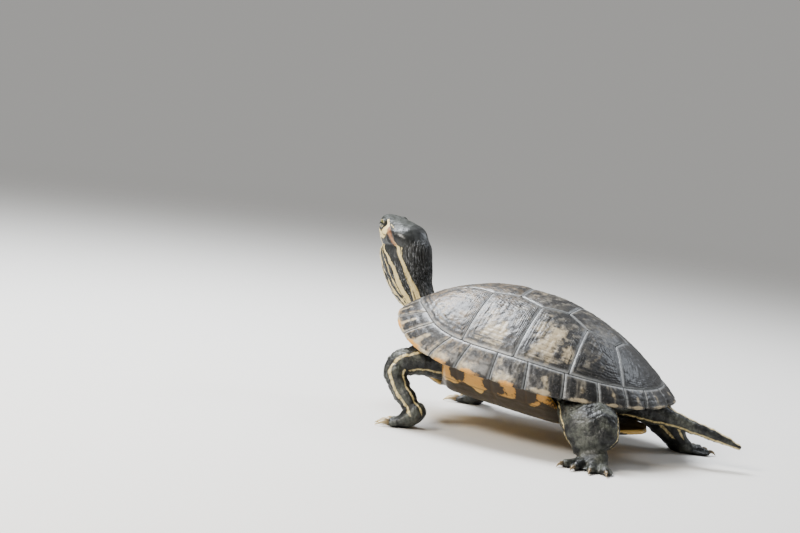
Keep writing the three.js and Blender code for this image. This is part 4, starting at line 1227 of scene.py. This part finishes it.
def near_stripe(places, rows):
    """How far inside a stripe each place is, in mm. The stripe's rows end with its half width."""
    rows = np.array(rows, float)
    best = np.full(len(places), NOWHERE)
    for start, end in zip(rows, rows[1:]):
        share, off = to_segment(places, start[:2], end[:2])
        best = np.maximum(best, lerp(start[2], end[2], share) - off)
    return best


def round_stripes(wide, deep, size, stripes):
    """Stripes along a tube, each [degrees round, half width], as mm inside the nearest."""
    turn = np.degrees(np.arctan2(deep, wide))
    best = np.full(len(wide), FAR_OFF)
    for degrees, half_width in stripes:
        off = np.abs((turn - degrees + 180) % 360 - 180)
        best = np.maximum(best, half_width - np.radians(off) * size)
    return best


def markings(points):
    """Fields for the colours: mm inside a stripe and the red patch."""
    part, head, where = nearest_part(points)
    none = np.full(len(points), FAR_OFF)
    on_head = part == PARTS.index("head")
    throat = on_head & (head[:, 2] < THROAT_TOP) & (head[:, 0] < THROAT_FRONT)
    on_head &= ~throat
    run, wide, deep, size = where["neck"]
    turn = np.degrees(np.arctan2(deep, np.abs(wide)))
    on_neck = (part == PARTS.index("neck")) | throat
    stripe = none
    for rows in NECK_STRIPES:
        places, *sizes = np.array(rows)[::-1].T
        middle, half_width = (np.interp(run, places, values) for values in sizes)
        inside = half_width - np.radians(np.abs(turn - middle)) * size - 3 * (1 - smooth_step(run, 30, 50))
        stripe = np.where(on_neck, np.maximum(stripe, inside), stripe)
    for name in ("tail", *LEGS):
        run, wide, deep, size = where[name]
        side = -1 if name.endswith("right") else 1
        found = round_stripes(wide * side, deep, size, LIMB_STRIPES[name])
        if name in LEGS:
            found = found - 2.5 * (1 - smooth_step(points[:, 2], *STRIPE_FADE))
        stripe = np.where(part == PARTS.index(name), found, stripe)
    side_view = columns(-head[:, 0], head[:, 2])
    for rows in HEAD_STRIPES:
        stripe = np.where(on_head, np.maximum(stripe, near_stripe(side_view, rows)), stripe)
    red = np.where(on_head & (np.abs(head[:, 1]) > 5), near_stripe(side_view, RED_PATCH), none)
    return {"stripe": stripe, "red": red}


def skin_material():
    """Olive-black skin with cream stripes, folded where it stretches, grained by fine scales; painted
    highlights on the wrinkles' ridges, and painted shade on the crown, in the grooves between scales, in the
    mouth's slit and in the eye's opening.
    """
    n = Nodes("turtle skin")
    cloud, fleck = n.noise(9, 4, 0.6), n.noise(1.6, 4, 0.62)
    n.colour = n.mix(n.step(cloud, 0.35, 0.65), (0.009, 0.010, 0.011), (0.026, 0.028, 0.027))
    n.paint(n.step(fleck, 0.52, 0.75), (0.085, 0.086, 0.074), 0.35)
    n.paint(n.times(n.field("limb"), n.step(cloud, 0.42, 0.66)), (0.082, 0.087, 0.072))
    n.paint(n.field("warm"), n.mix(fleck, (0.055, 0.055, 0.042), (0.17, 0.14, 0.085)))
    # Painted shade darkens the crown.
    n.paint(n.field("shaded_dry_crown"), n.mix(cloud, (0.006, 0.008, 0.005), (0.022, 0.026, 0.016)), 0.85)

    stray = n.times(n.minus(n.noise(2.2, 3, 0.6), 0.5), 1.3)
    inside = n.plus(n.field("stripe"), stray)
    stripe = n.step(inside, -0.35, 0.35)
    n.paint(n.times(n.minus(n.step(inside, -1.5, -0.5), stripe), n.field("rimmed")), (0.008, 0.009, 0.008))
    n.paint(stripe, n.mix(fleck, (0.56, 0.43, 0.17), (0.78, 0.67, 0.40)), 0.92)
    n.paint(n.field("lid"), (0.56, 0.48, 0.26), 0.85)
    red = n.step(n.plus(n.field("red"), n.times(stray, 1.6)), -0.9, 0.9)
    n.paint(red, n.mix(fleck, (0.15, 0.058, 0.028), (0.33, 0.165, 0.085)), 0.9)
    # Painted shade: the grooves between scales are darkened.
    n.paint(n.field("shaded_groove"), (0.012, 0.012, 0.010), 0.62)
    # Painted shade in the mouth's slit.
    n.paint(n.field("shaded_slit"), (0.012, 0.008, 0.006), 0.9)
    # Painted shade: skin inside the eye's opening, round the eyeball, is near black.
    n.paint(n.field("socket_shade"), (0.006, 0.006, 0.005))

    # Wrinkles run along the neck and limbs, as the folds' coordinates do; painted highlights lie on the
    # wrinkles' ridges.
    fold = n.make("ShaderNodeCombineXYZ", "Vector", {axis.upper(): n.field(f"fold_{axis}") for axis in "xyz"})
    loose = n.field("loose")
    # Painted highlight: pale glints along the ridges of the loose skin's wrinkles, away from the stripes.
    ridge_glint = n.times(n.step(n.noise(0.5, 2, 0.5, fold), 0.54, 0.66), n.times(loose, 0.65))
    n.paint(n.times(ridge_glint, n.minus(1, stripe)), (0.26, 0.27, 0.29))
    grain = n.make("ShaderNodeTexVoronoi", "Distance", {"Vector": n.place, "Scale": 1 / (0.75 * MM)})
    relief = n.plus(n.times(grain, n.field("grainy")), n.times(n.noise(0.5, 3, 0.6), 0.3))
    n.bump(n.plus(relief, n.times(n.noise(0.8, 3, 0.6, fold), n.times(loose, 4.5))), 0.24, 0.9)
    rough = n.plus(0.32, n.plus(n.times(fleck, 0.22), n.times(n.field("shaded_dry_crown"), 0.22)))
    return n.finish(roughness=rough, specular_ior_level=0.5, coat_weight=0.12, coat_roughness=0.3)


def make_skin():
    solids = [trunk_solid(), head_solid(), *(limb.solid(40, 4) for limb in LIMBS.values())]
    solids += [tube.solid(24, 8) for tubes in FEET.values() for tube in tubes]
    mesh = fused(solids)
    skin = linked("skin", mesh)
    thin_out(skin, covered(points_of(mesh)))
    refine(mesh, fine_head(points_of(mesh)))
    edges = np.empty(len(mesh.edges) * 2, int)
    mesh.edges.foreach_get("vertices", edges)
    edges = edges.reshape(-1, 2)
    plain = smoothed(points_of(mesh), edges, 6)
    nape = np.linalg.norm(inside_frame(plain, HEAD) - NAPE, axis=1)
    nape = (1 - smooth_step(nape, NAPE_REACH * 0.5, NAPE_REACH))[:, None]
    plain = smoothed(plain, edges, NAPE_ROUNDS, (0.5,), nape)
    set_points(mesh, plain)
    points, fields = sculpt(plain, vertex_values(mesh, "normal"))
    set_points(mesh, points)
    dress(mesh, fields | markings(plain), skin_material())
    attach(skin, "root")
    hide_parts(*FLESH_NODES)


# ---- eyes
CORNEA_BULGE, CORNEA_DEGREES = 0.3, 34     # mm, and how far from the eye's axis it starts


def eye_material():
    """A wet eye: black pupil and bar across a yellow-green iris, dark towards the lids."""
    n = Nodes("wet eye")
    turn, fibre = n.field("turn"), n.noise(0.35, 4, 0.6)
    n.colour = n.mix(fibre, (0.030, 0.036, 0.008), (0.13, 0.14, 0.032))
    n.paint(n.step(turn, 20, 17), (0.27, 0.26, 0.07))
    off_level = n.plus(n.math("ABSOLUTE", n.field("level")), n.times(fibre, 0.5))
    n.paint(n.step(off_level, 1.15, 0.75), (0.010, 0.011, 0.006))
    n.paint(n.step(turn, 16, 14.5), (0.002, 0.002, 0.002))
    n.paint(n.step(turn, 36, 43), (0.012, 0.012, 0.010))
    return n.finish(roughness=0.16, specular_ior_level=0.6, coat_weight=1.0, coat_roughness=0.03)


def make_eye(name, side, material):
    """An eyeball with a bulging cornea. Its fields are degrees from its axis and mm above its level."""
    axis = unit(EYE_AXIS * (1, side, 1))
    above = unit((0, 0, 1) - axis * axis[2])
    turns = np.linspace(0, 2 * math.pi, 56, endpoint=False)
    aside = np.cos(turns)[:, None] * np.cross(above, axis) + np.sin(turns)[:, None] * above
    rings, turn_of, level_of = [], [], []
    for degrees in np.linspace(1.5, 178.5, 44):
        angle = math.radians(degrees)
        radius = EYE_RADIUS + CORNEA_BULGE * (1 - smooth_step(degrees, CORNEA_DEGREES * 0.4, CORNEA_DEGREES))
        rings.append(EYE_PLACE * (1, side, 1) + radius * (math.cos(angle) * axis + math.sin(angle) * aside))
        turn_of += [degrees] * len(turns)
        level_of += list(np.sin(turns) * radius * math.sin(angle))
    points, faces = closed_rings(rings)
    fields = {"turn": turn_of + [0, 180], "level": level_of + [0, 0]}
    make_piece(name, placed(points, HEAD) * MM, faces, fields, material, [name])


def make_eyes():
    material = eye_material()
    make_eye("eye_left", 1, material)
    make_eye("eye_right", -1, material)


# ---- claws
# A claw's rows are [share of its length, height, share of its radius].
CLAW_ROWS = ((-0.16, 1.9, 0.95), (0, 2.05, 1), (0.2, 2.5, 1.0), (0.42, 2.62, 0.86), (0.66, 2.2, 0.62),
             (0.86, 1.35, 0.36), (1, 0.5, 0.12))
CLAW_START = 0.5                           # past the end of the digit


def claw_material(name, root, tip):
    n = Nodes(name)
    streaks = n.noise(0.6, 4, 0.6)
    n.colour = n.mix(n.field("out"), root, tip)
    n.paint(n.step(streaks, 0.45, 0.7), n.mix(0.5, root, (0.02, 0.015, 0.01)), 0.4)
    n.bump(streaks, 0.06, 0.6)
    return n.finish(roughness=n.plus(0.25, n.times(streaks, 0.2)), specular_ior_level=0.6, coat_weight=0.3,
                    coat_roughness=0.2)


def make_claws():
    fore = claw_material("fore claw horn", (0.12, 0.085, 0.045), (0.52, 0.42, 0.24))
    hind = claw_material("hind claw horn", (0.045, 0.035, 0.025), (0.24, 0.18, 0.10))
    for name, leg in LEGS.items():
        foot = leg["foot"]
        for i, digit in enumerate(foot["digits"]):
            start = foot["digit"] * digit[2] + CLAW_START
            sizes = [(along, height, foot["claw_radius"] * share) for along, height, share in CLAW_ROWS]
            tube = digit_tube(leg, digit, [(start + along * foot["claw"], height, radius, radius * 1.1)
                                           for along, height, radius in sizes])
            points, faces = tube.solid(20, 4)
            out = smooth_step(tube.locate(points)[0] / tube.run[-1], 0.1, 0.75)
            piece = f"{name}_claw_{i + 1}"
            make_piece(piece, points * MM, faces, {"out": out}, fore if name.startswith("fore") else hind,
                       [piece])


# ---- plastron, in shell lengths
PLASTRON_FRONT, PLASTRON_REAR, PLASTRON_LEVEL, LOBE = 0.455, -0.435, -0.145, 0.205
BRIDGE_FRONT, BRIDGE_REAR, NOTCH = 0.2, -0.17, 0.075   # the bridge's ends, and how long it takes to end
FRONT_LIFT, REAR_LIFT = 0.05, 0.02         # how far the lobes' ends turn up
# The bridge's curve from the midline to the rim: [share of the way out, share of the way up, 0].
BRIDGE_ROWS = ((0, 0, 0), (0.5, 0.02, 0), (0.68, 0.16, 0), (0.81, 0.46, 0), (0.9, 0.78, 0), (0.945, 1, 0))
PLASTRON_EDGE = BRIDGE_ROWS[-1][0]
RIM_GAP = 0.45 * MM / SHELL_LENGTH         # below the rim
PLASTRON_SEAMS = (0.385, 0.265, 0.065, -0.165, -0.31)   # where its pairs of scutes meet, front to rear
SEAM_SWEEP = 0.16                          # how far a seam bends to the rear on its way out
PLASTRON_SEAM, PLASTRON_SEAM_WIDTH = 0.4, 0.45
BRIDGE_SEAM = 0.55                         # share of the way up at which the marginals' scutes begin
SPOT_ASIDE, SPOT_SIZE = 24, (9, 11)        # of the blotch on each scute, in mm
# The bridge's spots at the marginals' joints: share of the way up, and size in mm and as such a share.
WALL_SPOT_UP, WALL_SPOT_SIZE = 0.84, (6.0, 0.26)


def plastron_section(x):
    """The outer face's half section at x, from the midline out, as (y, z) rows; and each one's way up."""
    along = (x - (PLASTRON_FRONT + PLASTRON_REAR) / 2) / ((PLASTRON_FRONT - PLASTRON_REAR) / 2)
    lobe = LOBE * math.sqrt(max(1 - abs(along) ** 3.2, 0.02))
    bridge = smooth_step(x, BRIDGE_REAR - NOTCH, BRIDGE_REAR)
    bridge *= 1 - smooth_step(x, BRIDGE_FRONT, BRIDGE_FRONT + NOTCH)
    angle = angle_where(0.5 - x, lambda _: 1.0)
    rim_y, rim_z = float(plan_point(1.0, angle)[1]), float(rim_level(angle)) - RIM_GAP
    base = PLASTRON_LEVEL + FRONT_LIFT * np.clip((x - 0.2) / 0.25, 0, 1) ** 2
    base += REAR_LIFT * np.clip((-x - 0.22) / 0.22, 0, 1) ** 2
    share, up = through(BRIDGE_ROWS, 44).T[:2]
    y = lerp(lobe * share / PLASTRON_EDGE, rim_y * share, bridge)
    z = lerp(base + 0.006 * share ** 6, lerp(base, rim_z, up), bridge)
    return columns(y, z) * LENGTH, up * bridge


def plastron_material():
    """Yellow horn with black blotches, orange up the bridge, fine dark seams and faint brown flecks; the
    bridge's lower wall is black, partly its own figure and partly painted shade, and painted shade darkens
    its rear.
    """
    n = Nodes("plastron horn")
    fleck = n.noise(3, 4, 0.62)
    n.colour = n.mix(n.noise(12, 4, 0.6), (0.50, 0.30, 0.075), (0.66, 0.46, 0.16))
    n.paint(n.field("orange"), n.mix(fleck, (0.30, 0.12, 0.025), (0.58, 0.31, 0.08)), 0.75)
    # This field holds the black blotches, and painted shade on the bridge.
    n.paint(n.step(n.ragged("dark_and_shade", fleck, 1.0), 0.42, 0.6), (0.014, 0.012, 0.010), 0.95)
    n.paint(n.step(n.field("edge"), 0.95, 0.3), (0.06, 0.035, 0.015), 0.7)
    n.paint(n.step(fleck, 0.6, 0.8), (0.20, 0.14, 0.07), 0.25)
    n.bump(n.plus(n.noise(1.2, 4, 0.6), fleck), 0.2, 0.6)
    return n.finish(roughness=n.plus(0.34, n.times(fleck, 0.2)), specular_ior_level=0.5, coat_weight=0.2,
                    coat_roughness=0.3)


def plastron_row(x, seams, joints):
    """A closed ring of the plastron at x, with the fields of each of its points."""
    outer, up = plastron_section(x)
    across = unit(np.gradient(outer, axis=0))
    y, place = outer[:, 0], np.full(len(outer), x * LENGTH)
    swept = place + SEAM_SWEEP * y
    edge = np.where(up < BRIDGE_SEAM, np.minimum(np.abs(swept[:, None] - seams).min(axis=1), y),
                    np.abs(place[0] - joints).min())
    edge = np.minimum(edge, 30 * np.abs(up - BRIDGE_SEAM) + 30 * (up < 0.02))
    relief = -PLASTRON_SEAM * bell(edge, PLASTRON_SEAM_WIDTH) + 0.08 * waves(columns(place, y), 2.2, 41)
    outer = outer + columns(across[:, 1], -across[:, 0]) * relief[:, None]
    inner = outer - columns(across[:, 1], -across[:, 0]) * PLATE
    inner[:, 0] = np.maximum(inner[:, 0], 0)
    inner[:, 1] = np.minimum(inner[:, 1], max(outer[-1, 1], outer[0, 1] + PLATE))
    half = np.concatenate([outer, inner[::-1]])
    ring = np.concatenate([half, half[-2:0:-1] * (-1, 1)])

    ends = np.array([PLASTRON_FRONT * LENGTH, *seams, PLASTRON_REAR * LENGTH])
    middles = (ends[:-1] + ends[1:]) / 2
    long, wide = SPOT_SIZE
    spots = np.max([bell(np.hypot((swept - middle) / long, (y - SPOT_ASIDE) / wide), 1)
                    for middle in middles], axis=0)
    long, high = WALL_SPOT_SIZE
    away = np.hypot((place[0] - joints[:, None]) / long, (up - WALL_SPOT_UP)[None] / high)
    wall = bell(away, 1).max(axis=0)
    # The bridge's lower wall is near black: partly its own dark figure, partly painted shade under the rim.
    ragged = 0.5 + 0.12 * waves(columns(place, 0 * up), 6, 43)
    low = smooth_step(up, 0.03, 0.08) * (1 - smooth_step(up, ragged - 0.06, ragged + 0.04)) * 1.3
    # Painted shade: the bridge grows darker towards the rear.
    rear = smooth_step(-place, -34, 20) * (0.33 + 0.2 * waves(columns(place, 20 * up), 5, 42))
    dark_and_shade = np.where(up > 0.03, np.maximum(wall * 1.2, low) + rear, spots * 1.05)
    fields = np.stack([edge, dark_and_shade, smooth_step(up, 0.3, 0.7)])
    fields = np.concatenate([fields, np.zeros_like(fields)], axis=1)
    fields = np.concatenate([fields, fields[:, -2:0:-1]], axis=1)
    return np.column_stack([np.full(len(ring), place[0]), ring]), fields


def make_plastron():
    seams = np.array(PLASTRON_SEAMS) * LENGTH
    joints = np.array([float(plan_point(1.0, math.radians(angle))[0]) for angle in RIM_JOINTS[3:10]]) * LENGTH
    rows = [plastron_row(x, seams, joints) for x in np.linspace(PLASTRON_REAR, PLASTRON_FRONT, 140)]
    points, faces = closed_rings([ring for ring, _ in rows])
    values = np.concatenate([fields for _, fields in rows] + [np.zeros((3, 2))], axis=1)
    fields = dict(zip(("edge", "dark_and_shade", "orange"), values))
    make_piece("plastron", in_shell(points), faces, fields, plastron_material(), ["plastron"])


# ---- stage and light
FLOOR_RADIUS = 2.6
FLOOR_FADE = (0.45, 2.2)                   # from this distance to that one the floor turns into the backdrop
BACKDROP, BACKDROP_STRENGTH = (0.80, 0.79, 0.77), 0.42
LAMP_TARGET, LAMP_DISTANCE = Vector((0, 0, 0.06)), 1.1


def make_stage():
    turns = np.linspace(0, 2 * math.pi, 96, endpoint=False)
    ring = [Vector((math.cos(turn), math.sin(turn), 0)) * FLOOR_RADIUS for turn in turns]
    mesh = bpy.data.meshes.new("floor")
    mesh.from_pydata(ring, [], [range(len(ring))])
    floor = linked("floor", mesh)
    n = Nodes("floor")
    n.colour = (0.66, 0.65, 0.63)
    mesh.materials.append(n.finish(roughness=0.8))
    distance = n.make("ShaderNodeVectorMath", "Value", {0: n.place}, operation="LENGTH")
    nothing = n.make("ShaderNodeBsdfTransparent", "BSDF")
    faded = n.make("ShaderNodeMixShader", "Shader", {
        "Fac": n.step(distance, *FLOOR_FADE), 1: n.shader.outputs["BSDF"], 2: nothing})
    n.put(n.tree.nodes["Material Output"].inputs["Surface"], faded)

    world = bpy.data.worlds.new("backdrop")
    world.use_nodes = True
    background = world.node_tree.nodes["Background"]
    background.inputs["Color"].default_value = (*BACKDROP, 1)
    background.inputs["Strength"].default_value = BACKDROP_STRENGTH
    bpy.context.scene.world = world
    bpy.context.scene.view_settings.look = "AgX - Medium High Contrast"


def area_light(name, azimuth, elevation, size, power, colour):
    """A round soft lamp that looks at the animal. Azimuth 0 stands in front of its head, 90 on its left."""
    data = bpy.data.lights.new(name, "AREA")
    data.shape, data.size, data.energy, data.color = "DISK", size, power, colour
    lamp = linked(name, data)
    a, e = math.radians(azimuth), math.radians(elevation)
    towards = Vector((math.cos(a) * math.cos(e), math.sin(a) * math.cos(e), math.sin(e)))
    lamp.location = LAMP_TARGET + towards * LAMP_DISTANCE
    lamp.rotation_mode = "QUATERNION"
    lamp.rotation_quaternion = towards.to_track_quat("Z", "Y")


def make_lights():
    area_light("window", -18, 60, 0.6, 24, (0.92, 0.955, 1.0))
    area_light("key", 62, 36, 0.4, 12, (1.0, 0.95, 0.87))
    area_light("sky", 242, 40, 0.4, 2.5, (0.86, 0.92, 1.0))


# ---- the whole
make_camera()
make_stage()
make_lights()
make_carapace()
make_skin()
make_eyes()
make_claws()
make_plastron()
